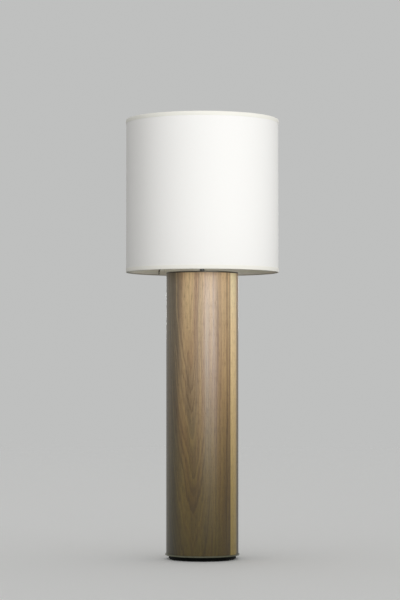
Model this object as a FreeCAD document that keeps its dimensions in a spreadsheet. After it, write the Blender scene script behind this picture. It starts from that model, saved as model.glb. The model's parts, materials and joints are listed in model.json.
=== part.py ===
import FreeCAD, Part

# Column table lamp. A walnut-veneered tube stands between two metal discs on a recessed foot, clamped by a
# hollow threaded pipe. The pipe carries a harp, a key-switch socket with its bulb, and a white drum shade.
# Frame: millimetres, +Z up, origin at the centre of the foot's underside, the front of the lamp towards -Y.

import math
import os
import re

import Sketcher

# Driving dimensions. Each is one cell of the sheet, and every other size is worked out from these.
SIZES = {
    # recessed foot
    "felt_diameter": 130.0,
    "felt_thickness": 1.5,
    "foot_diameter": 134.0,
    "foot_thickness": 6.5,
    "foot_edge_chamfer": 0.8,
    "nut_pocket_room": 4.0,
    "cord_slot_width": 10.0,
    "bushing_length": 9.0,
    "cord_bore": 4.8,
    "bushing_mouth": 0.5,
    "bushing_setback": 0.3,
    # metal discs and their screws
    "base_plate_diameter": 148.0,
    "base_plate_thickness": 3.0,
    "top_plate_thickness": 2.5,
    "plate_edge_chamfer": 0.5,
    "screw_circle": 96.0,
    "screw_shank": 4.0,
    "screw_head": 8.0,
    "screw_end_room": 2.1,
    "screw_recess": 0.4,
    "screw_drive": 2.6,
    "screw_drive_depth": 1.4,
    "screw_point": 4.0,
    # column
    "column_diameter": 144.0,
    "column_length": 557.0,
    "veneer_thickness": 0.6,
    "veneer_joint": 0.3,
    "tube_wall": 4.0,
    "bulkhead_thickness": 18.0,
    "ballast_diameter": 120.0,
    "ballast_thickness": 32.0,
    "ballast_chamfer": 2.0,
    # pipe, nuts and washers
    "pipe_diameter": 9.8,
    "pipe_bore": 6.8,
    "pipe_tail": 0.8,
    "pipe_in_socket": 8.0,
    "nut_flats": 14.3,
    "nut_thickness": 3.2,
    "washer_diameter": 26.0,
    "washer_thickness": 1.5,
    # harp and its saddle
    "neck_height": 21.0,
    "saddle_thickness": 1.2,
    "saddle_width": 9.0,
    "saddle_hub": 20.0,
    "saddle_ear_height": 14.0,
    "saddle_ear_width": 4.5,
    "saddle_bend": 1.0,
    "harp_leg_spacing": 56.4,
    "harp_leg_height": 42.0,
    "harp_knee_radius": 25.0,
    "harp_belly_width": 112.0,
    "harp_belly_height": 96.0,
    "harp_belly_radius": 70.0,
    "harp_shoulder_width": 104.0,
    "harp_shoulder_height": 205.0,
    "harp_shoulder_radius": 70.0,
    "harp_crown_width": 62.0,
    "harp_crown_radius": 28.0,
    "harp_height": 260.0,
    "harp_wire": 3.2,
    "sleeve_bore": 7.0,
    "sleeve_wall": 0.8,
    "sleeve_height": 16.0,
    "bracket_width": 9.0,
    "bracket_depth": 8.0,
    "bracket_wall": 1.6,
    "bracket_flange": 14.0,
    "stud_diameter": 6.1,
    "stud_height": 13.0,
    # socket
    "socket_height": 60.0,
    "cap_height": 18.0,
    "cap_boss": 15.0,
    "cap_boss_height": 5.0,
    "cap_shoulder": 12.0,
    "cap_wall": 0.8,
    "shell_diameter": 33.6,
    "shell_wall": 0.6,
    "shell_bead": 0.7,
    "shell_bead_height": 32.0,
    "liner_wall": 0.7,
    "body_diameter": 28.0,
    "body_height": 18.5,
    "body_flange": 2.5,
    "body_flat": 23.0,
    "body_flat_stop": 4.0,
    "screw_shell_bore": 26.7,
    "screw_shell_wall": 0.4,
    "screw_shell_height": 25.0,
    "contact_diameter": 8.0,
    "contact_thickness": 1.2,
    "contact_room": 2.0,
    "terminal_head": 6.0,
    "terminal_thickness": 1.6,
    "terminal_slot": 0.8,
    "terminal_height": 19.0,
    "key_height": 24.0,
    "key_shaft": 4.0,
    "key_depth": 7.0,
    "key_start": 20.0,
    "key_length": 15.0,
    "key_diameter": 12.0,
    "key_flute": 1.4,
    "key_grip": 8.0,
    "key_slot_room": 1.0,
    # bulb
    "bulb_diameter": 60.0,
    "bulb_length": 110.0,
    "bulb_neck": 27.0,
    "bulb_glass": 0.8,
    "bulb_cap_diameter": 26.2,
    "bulb_cap_height": 25.0,
    "bulb_cap_wall": 0.4,
    "bulb_cone_height": 3.5,
    "bulb_tip_diameter": 8.0,
    "bulb_tip_height": 1.5,
    # shade
    "shade_diameter": 305.0,
    "shade_height": 306.0,
    "shade_thickness": 1.0,
    "shade_recess": 19.0,
    "seam_lap": 14.0,
    "seam_bearing": 124.0,
    "seam_margin": 1.0,
    "tape_thickness": 0.4,
    "tape_outer": 8.0,
    "tape_inner": 5.0,
    "ring_wire": 2.5,
    "arm_wire": 3.0,
    "arm_run_in": 20.0,
    "arm_bend": 12.0,
    "arm_bearing": 90.0,
    "arm_room": 1.5,
    "spider_washer_diameter": 26.0,
    "spider_washer_thickness": 1.5,
    "spider_washer_bore": 8.4,
    # finial
    "finial_height": 16.0,
    "finial_base": 14.0,
    "finial_rim": 1.6,
    "finial_waist": 8.0,
    "finial_ball": 12.0,
    # clearances
    "glue_gap": 0.1,
    "pipe_gap": 0.2,
    "screw_gap": 0.25,
    "slide_gap": 0.3,
    "wire_gap": 0.05,
}

SCREW_COUNT = 4
SCREW_BEARING = 45
ARM_COUNT = 3
KEY_FLUTES = 12
BULB_LEAN = 38
BULB_STEPS = 10
BALL_STEPS = 8
RING_FLATS = 8

# A nut's corners are rounded off at this share of the distance across them.
NUT_CORNER_SHARE = 0.965

doc = FreeCAD.newDocument("column_lamp")
sheet = doc.addObject("Spreadsheet::Sheet", "sizes")
for row, (alias, number) in enumerate(SIZES.items(), start=1):
    sheet.set(f"A{row}", alias)
    sheet.set(f"B{row}", str(number))
    sheet.setAlias(f"B{row}", alias)
doc.recompute()

subparts = []


# ---------------------------------------------------------------- formulas


def qualified(formula):
    """The formula with each size written as a reference to its cell."""
    return re.sub(r"[a-z_]+", lambda m: "sizes." + m.group() if m.group() in SIZES else m.group(), formula)


def value(formula):
    """What the formula comes to, in millimetres or degrees."""
    return float(sheet.evalExpression(qualified(formula)))


def bind(feature, prop, formula):
    """Ties a property of a feature to the sheet."""
    feature.setExpression(prop, qualified(formula))


# The bulb's pear shape: its waist curve meets its ball this many degrees below the ball's middle.
LEAN_ACROSS = f"cos({BULB_LEAN})"
LEAN_UP = f"sin({BULB_LEAN})"

# Heights of the seats on the lamp's axis, from the table up.
FOOT_BOTTOM = "felt_thickness"
PLATE_BOTTOM = f"({FOOT_BOTTOM} + foot_thickness)"
COLUMN_BOTTOM = f"({PLATE_BOTTOM} + base_plate_thickness)"
BALLAST_BOTTOM = f"({COLUMN_BOTTOM} + bulkhead_thickness)"
BALLAST_TOP = f"({BALLAST_BOTTOM} + ballast_thickness)"
COLUMN_TOP = f"({COLUMN_BOTTOM} + column_length)"
DECK = f"({COLUMN_TOP} + top_plate_thickness)"
SADDLE_BOTTOM = f"({DECK} + neck_height)"
SADDLE_TOP = f"({SADDLE_BOTTOM} + saddle_thickness)"
PIPE_BOTTOM = f"({PLATE_BOTTOM} - washer_thickness - nut_thickness - pipe_tail)"
CROWN = f"({SADDLE_TOP} + harp_height)"
HARP_SEAT = f"({CROWN} + harp_wire / 2 + 2 * bracket_wall)"
WASHER_TOP = f"({HARP_SEAT} + spider_washer_thickness)"
SHADE_TOP = f"({HARP_SEAT} + shade_recess)"
SHADE_BOTTOM = f"({SHADE_TOP} - shade_height)"

# Radii that several pieces share.
TUBE_RADIUS = "(column_diameter / 2 - veneer_thickness)"
TUBE_BORE = f"({TUBE_RADIUS} - tube_wall)"
PIPE_HOLE = "(pipe_diameter / 2 + pipe_gap)"
THREAD_HOLE = "(pipe_diameter / 2 + wire_gap)"
SHELL_RADIUS = "(shell_diameter / 2)"
SHELL_BORE = f"({SHELL_RADIUS} - shell_wall)"
LINER_BORE = f"({SHELL_BORE} - wire_gap - liner_wall)"
CAP_BORE = f"({SHELL_RADIUS} + wire_gap)"
CAP_RADIUS = f"({CAP_BORE} + cap_wall)"
FLANGE_RADIUS = f"({LINER_BORE} - slide_gap)"
RING_RADIUS = "(shade_diameter / 2 - shade_thickness - wire_gap - ring_wire / 2)"

# Heights inside the socket, above the saddle. The switch body's flange rests on the cap's cone.
CONE_RISE = f"((cap_shoulder - cap_boss_height) / ({CAP_BORE} - cap_boss / 2))"
BODY_SEAT = f"(cap_boss_height + cap_wall + wire_gap + ({FLANGE_RADIUS} - cap_boss / 2) * {CONE_RISE})"
BODY_TOP = f"({BODY_SEAT} + body_height)"
SHELL_BOTTOM = "(cap_shoulder + cap_wall + wire_gap)"
TIP_BOTTOM = f"({BODY_TOP} + contact_thickness)"
CONE_BOTTOM = f"({TIP_BOTTOM} + bulb_tip_height)"
BULB_CAP_BOTTOM = f"({CONE_BOTTOM} + bulb_cone_height)"
BULB_CAP_TOP = f"({BULB_CAP_BOTTOM} + bulb_cap_height)"


# ---------------------------------------------------------------- features


def finish(subpart, label, height="0"):
    """Names a sub-part, seats it at a height on the lamp's axis and keeps it for export."""
    subpart.Label = label
    bind(subpart, "Placement.Base.z", height)
    subparts.append(subpart)
    return subpart


def new_body(label):
    return doc.addObject("PartDesign::Body", label + "_body")


def new_sketch(body, plane="XY_Plane", height=None):
    """An empty sketch on one of the body's own planes, raised off it by a height."""
    sketch = body.newObject("Sketcher::SketchObject", "Sketch")
    support = next(f for f in body.Origin.OriginFeatures if f.Role == plane)
    sketch.AttachmentSupport = [(support, "")]
    sketch.MapMode = "FlatFace"
    if height:
        bind(sketch, "AttachmentOffset.Base.z", height)
    return sketch


def pin_point(sketch, geometry, point, spot):
    """Ties a point of the sketch to a pair of formulas, across and up from its origin."""
    for kind, formula, axis in (("DistanceX", spot[0], -2), ("DistanceY", spot[1], -1)):
        if formula == "0":
            sketch.addConstraint(Sketcher.Constraint("PointOnObject", geometry, point, axis))
        else:
            held = Sketcher.Constraint(kind, -1, 1, geometry, point, value(formula))
            bind(sketch, f"Constraints[{sketch.addConstraint(held)}]", formula)


def draw_outline(sketch, corners):
    """A closed outline of straight runs through corners, each a pair of formulas."""
    spots = [FreeCAD.Vector(value(across), value(up), 0) for across, up in corners]
    first = sketch.GeometryCount
    for here, there in zip(spots, spots[1:] + spots[:1]):
        sketch.addGeometry(Part.LineSegment(here, there), False)
    for i, spot in enumerate(corners):
        before = first + (i - 1) % len(corners)
        sketch.addConstraint(Sketcher.Constraint("Coincident", first + i, 1, before, 2))
        pin_point(sketch, first + i, 1, spot)
    return sketch


def draw_rectangle(sketch, left, right, low, high):
    return draw_outline(sketch, [(left, low), (right, low), (right, high), (left, high)])


def draw_circle(sketch, diameter, across="0", up="0"):
    centre = FreeCAD.Vector(value(across), value(up), 0)
    round_ = sketch.addGeometry(Part.Circle(centre, FreeCAD.Vector(0, 0, 1), value(diameter) / 2), False)
    if (across, up) == ("0", "0"):
        sketch.addConstraint(Sketcher.Constraint("Coincident", round_, 3, -1, 1))
    else:
        pin_point(sketch, round_, 3, (across, up))
    held = sketch.addConstraint(Sketcher.Constraint("Diameter", round_, value(diameter)))
    bind(sketch, f"Constraints[{held}]", diameter)
    return sketch


def pad(body, sketch, length, symmetric=False):
    feature = body.newObject("PartDesign::Pad", "Pad")
    feature.Profile = sketch
    feature.SideType = "Symmetric" if symmetric else "One side"
    bind(feature, "Length", length)
    return feature


def cutting(body, kind, profile):
    """A feature that takes material off the body. sure_cut tells whether it did."""
    doc.recompute()
    feature = body.newObject("PartDesign::" + kind, kind)
    feature.Profile = profile
    return feature


def sure_cut(body, feature):
    """Stops the build where a cut leaves its body as big as it was."""
    before = feature.BaseFeature.Shape.Volume
    doc.recompute()
    if feature.Shape.Volume >= before:
        raise RuntimeError(f"{feature.Name} in {body.Name} cuts nothing")
    return feature


def pocket(body, sketch, depth=None):
    """Cuts along the sketch's normal by a depth, or right through the body both ways without one."""
    feature = cutting(body, "Pocket", sketch)
    if depth:
        feature.Reversed = True
        bind(feature, "Length", depth)
    else:
        feature.Type = "ThroughAll"
        feature.SideType = "Symmetric"
    return sure_cut(body, feature)


def around(body, feature, count):
    """Repeats a feature around the body's Z axis."""
    pattern = body.newObject("PartDesign::PolarPattern", "Pattern")
    pattern.Originals = [feature]
    axis = next(f for f in body.Origin.OriginFeatures if f.Role == "Z_Axis")
    pattern.Axis = (axis, [""])
    pattern.Angle = 360
    pattern.Occurrences = count
    body.Tip = pattern
    return pattern


def turned(label, corners, height="0"):
    """A sub-part turned about the lamp's axis from an outline of (radius, height) corners."""
    body = new_body(label)
    profile = draw_outline(new_sketch(body, "XZ_Plane"), corners)
    feature = body.newObject("PartDesign::Revolution", "Revolution")
    feature.Profile = profile
    feature.ReferenceAxis = (profile, ["V_Axis"])
    feature.Angle = 360
    return finish(body, label, height)


def round_edges(body, kind, size, wanted):
    """A Fillet or Chamfer on the body's edges that pass a test."""
    doc.recompute()
    tip = body.Tip
    names = [f"Edge{i + 1}" for i, edge in enumerate(tip.Shape.Edges) if wanted(edge)]
    feature = body.newObject("PartDesign::" + kind, kind)
    feature.Base = (tip, names)
    bind(feature, "Radius" if kind == "Fillet" else "Size", size)
    return feature


def primitive(kind, **sizes):
    """A Part primitive whose sizes are formulas. An underscore in a name stands for a dot."""
    shape = doc.addObject("Part::" + kind, kind)
    for prop, formula in sizes.items():
        bind(shape, prop.replace("_", "."), formula)
    return shape


def cut_from(base, tool):
    result = doc.addObject("Part::Cut", "Cut")
    result.Base, result.Tool = base, tool
    return result


def computed(label, solids, height="0"):
    """A sub-part of solids that are worked out in code from the sheet's sizes, and kept where they lie."""
    subpart = doc.addObject("Part::Feature", label + "_feature")
    subpart.Shape = Part.makeCompound(solids)
    return finish(subpart, label, height)


def arc_corners(centre, radius, start, stop, steps):
    """Corners along an arc: its centre (across, up) and radius are formulas, its ends are in degrees."""
    corners = []
    for i in range(steps + 1):
        angle = start + (stop - start) * i / steps
        across = f"{centre[0]} + {radius} * cos({angle:.3f})"
        up = f"{centre[1]} + {radius} * sin({angle:.3f})"
        corners.append((across, up))
    return corners


def circular_rim(radius, height=None):
    """A test for the circular edges of one radius, at one height if it is given."""
    def wanted(edge):
        curve = edge.Curve
        if not isinstance(curve, Part.Circle) or abs(curve.Radius - value(radius)) > 1e-4:
            return False
        return height is None or abs(curve.Center.z - value(height)) < 1e-4
    return wanted


# ---------------------------------------------------------------- bent wire


def bent_path(spots, radii):
    """A wire of straight runs through spots, with an arc of the given radius at each inner spot."""
    edges, start = [], spots[0]
    for before, corner, after, radius in zip(spots, spots[1:], spots[2:], radii):
        into = (before - corner).normalize()
        out = (after - corner).normalize()
        half = into.getAngle(out) / 2
        reach = radius / math.tan(half)
        entry, leave = corner + into * reach, corner + out * reach
        bisector = (into + out).normalize()
        middle = corner + bisector * (radius / math.sin(half) - radius)
        edges += [Part.LineSegment(start, entry).toShape(), Part.Arc(entry, middle, leave).toShape()]
        start = leave
    edges.append(Part.LineSegment(start, spots[-1]).toShape())
    return Part.Wire(edges)


def bent_rod(spots, radii, diameter):
    """A round rod along a bent path that starts along the first run."""
    path = bent_path(spots, radii)
    section = Part.Wire(Part.Circle(spots[0], spots[1] - spots[0], diameter / 2).toShape())
    return path.makePipeShell([section], True, False)


# ---------------------------------------------------------------- recessed foot


def add_felt_pad():
    body = new_body("felt_pad")
    pad(body, draw_circle(new_sketch(body), "felt_diameter"), "felt_thickness")
    finish(body, "felt_pad")


def screw_spot(sketch, diameter):
    across = f"screw_circle / 2 * cos({SCREW_BEARING})"
    up = f"screw_circle / 2 * sin({SCREW_BEARING})"
    return draw_circle(sketch, diameter, across, up)


def add_foot_disc():
    """A black disc with a pocket for the clamping nut and a slot that leads the cord out at the back."""
    body = new_body("foot_disc")
    pad(body, draw_circle(new_sketch(body), "foot_diameter"), "foot_thickness")
    round_edges(body, "Chamfer", "foot_edge_chamfer", circular_rim("foot_diameter / 2", "0"))
    pocket(body, draw_circle(new_sketch(body), "washer_diameter + 2 * nut_pocket_room"))
    half = "cord_slot_width / 2"
    pocket(body, draw_rectangle(new_sketch(body), f"-{half}", half, "0", "foot_diameter"))
    hole = pocket(body, screw_spot(new_sketch(body), "screw_shank + 2 * screw_gap"))
    around(body, hole, SCREW_COUNT)
    head = pocket(body, screw_spot(new_sketch(body), "screw_head + 2 * screw_gap"), "screw_head / 2")
    around(body, head, SCREW_COUNT)
    finish(body, "foot_disc", FOOT_BOTTOM)


def add_cord_bushing():
    """The black bushing in the mouth of the slot: the inlet that the supply cord passes through."""
    body = new_body("cord_bushing")
    block = new_sketch(body, "XZ_Plane")
    half = "(cord_slot_width / 2 - wire_gap)"
    draw_rectangle(block, f"-{half}", half, "wire_gap", "foot_thickness - wire_gap")
    draw_circle(block, "cord_bore", "0", "foot_thickness / 2")
    bind(block, "AttachmentOffset.Base.z", "-(foot_diameter / 2 - bushing_setback)")
    pad(body, block, "bushing_length")
    round_edges(body, "Chamfer", "bushing_mouth", circular_rim("cord_bore / 2"))
    finish(body, "cord_bushing", FOOT_BOTTOM)


# ---------------------------------------------------------------- metal discs


def metal_disc(label, diameter, thickness, height):
    """A turned disc with a hole for the pipe and both rims broken."""
    body = new_body(label)
    outline = draw_circle(new_sketch(body), diameter)
    draw_circle(outline, f"2 * {PIPE_HOLE}")
    pad(body, outline, thickness)
    round_edges(body, "Chamfer", "plate_edge_chamfer", circular_rim(f"{diameter} / 2"))
    return finish(body, label, height)


def add_base_plate():
    body = metal_disc("base_plate", "base_plate_diameter", "base_plate_thickness", PLATE_BOTTOM)
    hole = pocket(body, screw_spot(new_sketch(body), "screw_shank + 2 * screw_gap"))
    around(body, hole, SCREW_COUNT)


def add_base_screws():
    """Countersunk wood screws that hold the foot and the base plate to the lower bulkhead."""
    head, shank, recess = value("screw_head / 2"), value("screw_shank / 2"), value("screw_recess")
    length = value(f"{BALLAST_BOTTOM} - {FOOT_BOTTOM} - screw_recess - screw_end_room")
    drive = value("screw_drive")
    drive_depth = value("screw_drive_depth")
    cone = head - shank
    point = length - value("screw_point")
    profile = Part.makePolygon([FreeCAD.Vector(r, 0, z) for r, z in (
        (0, 0), (head, 0), (shank, cone), (shank, point), (0, length), (0, 0))])
    screw = Part.Face(profile).revolve(FreeCAD.Vector(), FreeCAD.Vector(0, 0, 1), 360)
    socket = Part.makeBox(drive, drive, drive_depth, FreeCAD.Vector(-drive / 2, -drive / 2, 0))
    screw = screw.cut(socket)
    screw.translate(FreeCAD.Vector(value("screw_circle / 2"), 0, recess))
    copies = []
    for i in range(SCREW_COUNT):
        copy = screw.copy()
        copy.rotate(FreeCAD.Vector(), FreeCAD.Vector(0, 0, 1), SCREW_BEARING + i * 360 / SCREW_COUNT)
        copies.append(copy)
    computed("base_screws", copies, FOOT_BOTTOM)


# ---------------------------------------------------------------- column


def add_tube():
    body = new_body("column_tube")
    outline = draw_circle(new_sketch(body), f"2 * {TUBE_RADIUS}")
    draw_circle(outline, f"2 * {TUBE_BORE}")
    pad(body, outline, "column_length")
    finish(body, "column_tube", COLUMN_BOTTOM)


def add_veneer():
    """One sheet of walnut veneer rolled round the tube, with its butt joint at the back."""
    body = new_body("walnut_veneer")
    outline = draw_circle(new_sketch(body), "column_diameter")
    draw_circle(outline, f"2 * {TUBE_RADIUS}")
    pad(body, outline, "column_length")
    joint = new_sketch(body)
    draw_rectangle(joint, "-veneer_joint / 2", "veneer_joint / 2", "0", "column_diameter")
    pocket(body, joint)
    finish(body, "walnut_veneer", COLUMN_BOTTOM)


def add_bulkheads():
    """Plywood discs glued in the ends of the tube. The lower one takes the screws of the foot."""
    for label, height in (
        ("lower_bulkhead", COLUMN_BOTTOM),
        ("upper_bulkhead", f"{COLUMN_TOP} - bulkhead_thickness"),
    ):
        body = new_body(label)
        outline = draw_circle(new_sketch(body), f"2 * ({TUBE_BORE} - glue_gap)")
        draw_circle(outline, f"2 * {PIPE_HOLE}")
        pad(body, outline, "bulkhead_thickness")
        if label == "lower_bulkhead":
            pilot = pocket(body, screw_spot(new_sketch(body), "screw_shank + 2 * wire_gap"))
            around(body, pilot, SCREW_COUNT)
        finish(body, label, height)


def add_ballast():
    edge, outer, top = "ballast_chamfer", "ballast_diameter / 2", "ballast_thickness"
    turned("ballast_weight", [
        (PIPE_HOLE, "0"), (f"{outer} - {edge}", "0"), (outer, edge), (outer, f"{top} - {edge}"),
        (f"{outer} - {edge}", top), (PIPE_HOLE, top),
    ], BALLAST_BOTTOM)


# ---------------------------------------------------------------- pipe, nuts and washers


def add_pipe():
    outside = primitive("Cylinder", Radius="pipe_diameter / 2",
                        Height=f"{SADDLE_TOP} + pipe_in_socket - {PIPE_BOTTOM}")
    bore = primitive("Cylinder", Radius="pipe_bore / 2",
                     Height=f"{SADDLE_TOP} + pipe_in_socket - {PIPE_BOTTOM}")
    finish(cut_from(outside, bore), "threaded_pipe", PIPE_BOTTOM)


def add_nut(label, height):
    """A hexagon nut with its corners rounded off, bored clear of the pipe's crests."""
    corner = "nut_flats / 2 / cos(30)"
    hexagon = primitive("Prism", Circumradius=corner, Height="nut_thickness")
    hexagon.Polygon = 6
    barrel = primitive("Cylinder", Radius=f"{corner} * {NUT_CORNER_SHARE}", Height="nut_thickness")
    rounded = doc.addObject("Part::Common", "Common")
    rounded.Base, rounded.Tool = hexagon, barrel
    hole = primitive("Cylinder", Radius=THREAD_HOLE, Height="nut_thickness")
    finish(cut_from(rounded, hole), label, height)


def add_washer(label, height):
    blank = primitive("Cylinder", Radius="washer_diameter / 2", Height="washer_thickness")
    hole = primitive("Cylinder", Radius=PIPE_HOLE, Height="washer_thickness")
    finish(cut_from(blank, hole), label, height)


def add_clamping_stack():
    add_pipe()
    add_washer("foot_washer", f"{PLATE_BOTTOM} - washer_thickness")
    add_nut("foot_nut", f"{PLATE_BOTTOM} - washer_thickness - nut_thickness")
    add_washer("ballast_washer", BALLAST_TOP)
    add_nut("ballast_nut", f"{BALLAST_TOP} + washer_thickness")
    add_nut("deck_nut", DECK)
    add_nut("saddle_nut", f"{SADDLE_BOTTOM} - nut_thickness")


# ---------------------------------------------------------------- harp


EAR_INNER = "(harp_leg_spacing / 2 + harp_wire / 2 + wire_gap)"
EAR_OUTER = f"({EAR_INNER} + saddle_thickness)"
SLEEVE_CENTRE = f"((harp_leg_spacing / 2 - harp_wire / 2 + {EAR_OUTER}) / 2)"


def add_harp_saddle():
    """A steel strip clamped on the pipe, with an ear turned up at each end beside the harp's legs."""
    body = new_body("harp_saddle")
    strip = new_sketch(body)
    draw_rectangle(strip, f"-{EAR_OUTER}", EAR_OUTER, "-saddle_width / 2", "saddle_width / 2")
    pad(body, strip, "saddle_thickness")
    pad(body, draw_circle(new_sketch(body), "saddle_hub"), "saddle_thickness")
    for near, far in ((f"-{EAR_OUTER}", f"-{EAR_INNER}"), (EAR_INNER, EAR_OUTER)):
        ear = draw_rectangle(new_sketch(body), near, far, "-saddle_ear_width / 2", "saddle_ear_width / 2")
        pad(body, ear, "saddle_thickness + saddle_ear_height")
    pocket(body, draw_circle(new_sketch(body), f"2 * {PIPE_HOLE}"))

    def bottom_end(edge):
        box = edge.BoundBox
        return box.ZMax < 1e-4 and box.XLength < 1e-4 and box.YLength > 1

    round_edges(body, "Fillet", "saddle_bend", bottom_end)
    finish(body, "harp_saddle", SADDLE_BOTTOM)


def add_harp():
    """The harp's wire: straight legs, a belly that clears the bulb, and a crown under the shade's washer."""
    bends = [
        ("harp_leg_spacing", "harp_leg_height", "harp_knee_radius"),
        ("harp_belly_width", "harp_belly_height", "harp_belly_radius"),
        ("harp_shoulder_width", "harp_shoulder_height", "harp_shoulder_radius"),
        ("harp_crown_width", "harp_height", "harp_crown_radius"),
    ]
    spots = [FreeCAD.Vector(value("harp_leg_spacing / 2"), 0, value("wire_gap"))]
    spots += [FreeCAD.Vector(value(width) / 2, 0, value(height)) for width, height, _ in bends]
    spots += [FreeCAD.Vector(-spot.x, 0, spot.z) for spot in reversed(spots)]
    radii = [value(radius) for _, _, radius in bends]
    wire = bent_rod(spots, radii + radii[::-1], value("harp_wire"))
    computed("harp_wire", [wire], SADDLE_TOP)


def add_harp_stud():
    """The bracket that turns on the harp's crown, with the seat and the stud for the shade."""
    body = new_body("harp_stud")
    low = "-(harp_wire / 2 + bracket_wall)"
    block = new_sketch(body, "XZ_Plane")
    draw_rectangle(block, "-bracket_width / 2", "bracket_width / 2", low, "harp_wire / 2 + bracket_wall")
    pad(body, block, "bracket_depth", symmetric=True)
    seat = draw_circle(new_sketch(body, height="harp_wire / 2 + bracket_wall"), "bracket_flange")
    pad(body, seat, "bracket_wall")
    stud = draw_circle(new_sketch(body, height="harp_wire / 2 + 2 * bracket_wall"), "stud_diameter")
    pad(body, stud, "stud_height")
    pocket(body, draw_circle(new_sketch(body, "YZ_Plane"), "harp_wire + 2 * wire_gap"))
    finish(body, "harp_stud", CROWN)


def add_harp_sleeves():
    """The brass sleeves that slide down over each leg and ear and lock the harp in its saddle."""
    for label, side in (("harp_sleeve_left", "-"), ("harp_sleeve_right", "")):
        outside = primitive("Cylinder", Radius="sleeve_bore / 2 + sleeve_wall", Height="sleeve_height")
        bore = primitive("Cylinder", Radius="sleeve_bore / 2", Height="sleeve_height")
        sleeve = finish(cut_from(outside, bore), label, SADDLE_TOP)
        bind(sleeve, "Placement.Base.x", side + SLEEVE_CENTRE)


# ---------------------------------------------------------------- socket


def add_socket_cap():
    """The pressed brass cap on the pipe, open upwards, that the socket's shell snaps into."""
    boss, floor = "cap_boss / 2", "(cap_boss_height + cap_wall)"
    turned("socket_cap", [
        (THREAD_HOLE, "0"), (boss, "0"), (boss, "cap_boss_height"), (CAP_RADIUS, "cap_shoulder"),
        (CAP_RADIUS, "cap_height"), (CAP_BORE, "cap_height"), (CAP_BORE, "cap_shoulder + cap_wall"),
        (boss, floor), (THREAD_HOLE, floor),
    ], SADDLE_TOP)


def key_opening(body):
    """Cuts the slot for the key's shaft out of the front of a round wall, open at the bottom."""
    doc.recompute()
    half = "(key_shaft / 2 + key_slot_room)"
    slot = new_sketch(body, "XZ_Plane")
    draw_rectangle(slot, f"-{half}", half, "0", f"key_height + {half}")
    bind(slot, "AttachmentOffset.Base.z", "body_diameter / 2")
    pocket(body, slot, "shell_diameter")


def add_socket_shell():
    """The brass shell with its bead, its rolled lip and the slot for the key."""
    bead, rise = f"{SHELL_RADIUS} + shell_bead", "shell_bead_height"
    body = turned("socket_shell", [
        (SHELL_BORE, SHELL_BOTTOM), (SHELL_RADIUS, SHELL_BOTTOM),
        (SHELL_RADIUS, f"{rise} - 2 * shell_bead"), (bead, f"{rise} - shell_bead"),
        (bead, f"{rise} + shell_bead"), (SHELL_RADIUS, f"{rise} + 2 * shell_bead"),
        (SHELL_RADIUS, "socket_height - 3 * shell_bead"), (bead, "socket_height - 2 * shell_bead"),
        (bead, "socket_height"), (SHELL_BORE, "socket_height"),
    ], SADDLE_TOP)
    key_opening(body)


def add_socket_liner():
    """The insulating cardboard sleeve inside the shell."""
    body = new_body("socket_liner")
    outline = draw_circle(new_sketch(body, height=SHELL_BOTTOM), f"2 * ({SHELL_BORE} - wire_gap)")
    draw_circle(outline, f"2 * {LINER_BORE}")
    pad(body, outline, f"socket_height - {SHELL_BOTTOM} - liner_wall")
    finish(body, "socket_liner", SADDLE_TOP)
    key_opening(body)


def add_switch_body():
    """The moulded switch body: its flange, flats for the terminals and a bore for the key's shaft."""
    body = new_body("switch_body")
    pad(body, draw_circle(new_sketch(body, height=BODY_SEAT), f"2 * {FLANGE_RADIUS}"), "body_flange")
    pad(body, draw_circle(new_sketch(body, height=BODY_SEAT), "body_diameter"), "body_height")
    for near, far in (("-body_diameter", "-body_flat / 2"), ("body_flat / 2", "body_diameter")):
        side = new_sketch(body, height=f"{BODY_SEAT} + body_flange")
        draw_rectangle(side, near, far, "-body_diameter", "body_diameter")
        pocket(body, side, "body_height - body_flange - body_flat_stop")
    bore = draw_circle(new_sketch(body, "XZ_Plane"), "key_shaft + 2 * slide_gap", "0", "key_height")
    bind(bore, "AttachmentOffset.Base.z", "key_depth")
    pocket(body, bore, "body_diameter")
    finish(body, "switch_body", SADDLE_TOP)


def add_contacts():
    """The brass screw shell, the centre contact under the bulb's tip and the two terminal screws."""
    outer = "(screw_shell_bore / 2 + screw_shell_wall)"
    body = new_body("screw_shell")
    ring = draw_circle(new_sketch(body, height=BODY_TOP), f"2 * {outer}")
    draw_circle(ring, "screw_shell_bore")
    pad(body, ring, "screw_shell_height")
    floor = draw_circle(new_sketch(body, height=BODY_TOP), f"2 * {outer}")
    draw_circle(floor, "contact_diameter + 2 * contact_room")
    pad(body, floor, "screw_shell_wall")
    finish(body, "screw_shell", SADDLE_TOP)

    tab = new_body("centre_contact")
    pad(tab, draw_circle(new_sketch(tab), "contact_diameter"), "contact_thickness")
    finish(tab, "centre_contact", f"{SADDLE_TOP} + {BODY_TOP}")

    radius, thickness = value("terminal_head / 2"), value("terminal_thickness")
    flat, height, slot = value("body_flat / 2"), value("terminal_height"), value("terminal_slot")
    heads = []
    for side in (-1, 1):
        outward = FreeCAD.Vector(side, 0, 0)
        head = Part.makeCylinder(radius, thickness, outward * flat + FreeCAD.Vector(0, 0, height), outward)
        driver = Part.makeBox(thickness, 2 * radius, slot)
        driver.translate(outward * (flat + thickness))
        driver.translate(FreeCAD.Vector(-thickness / 2, -radius, height - slot / 2))
        heads.append(head.cut(driver))
    computed("terminal_screws", heads, SADDLE_TOP)


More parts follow.
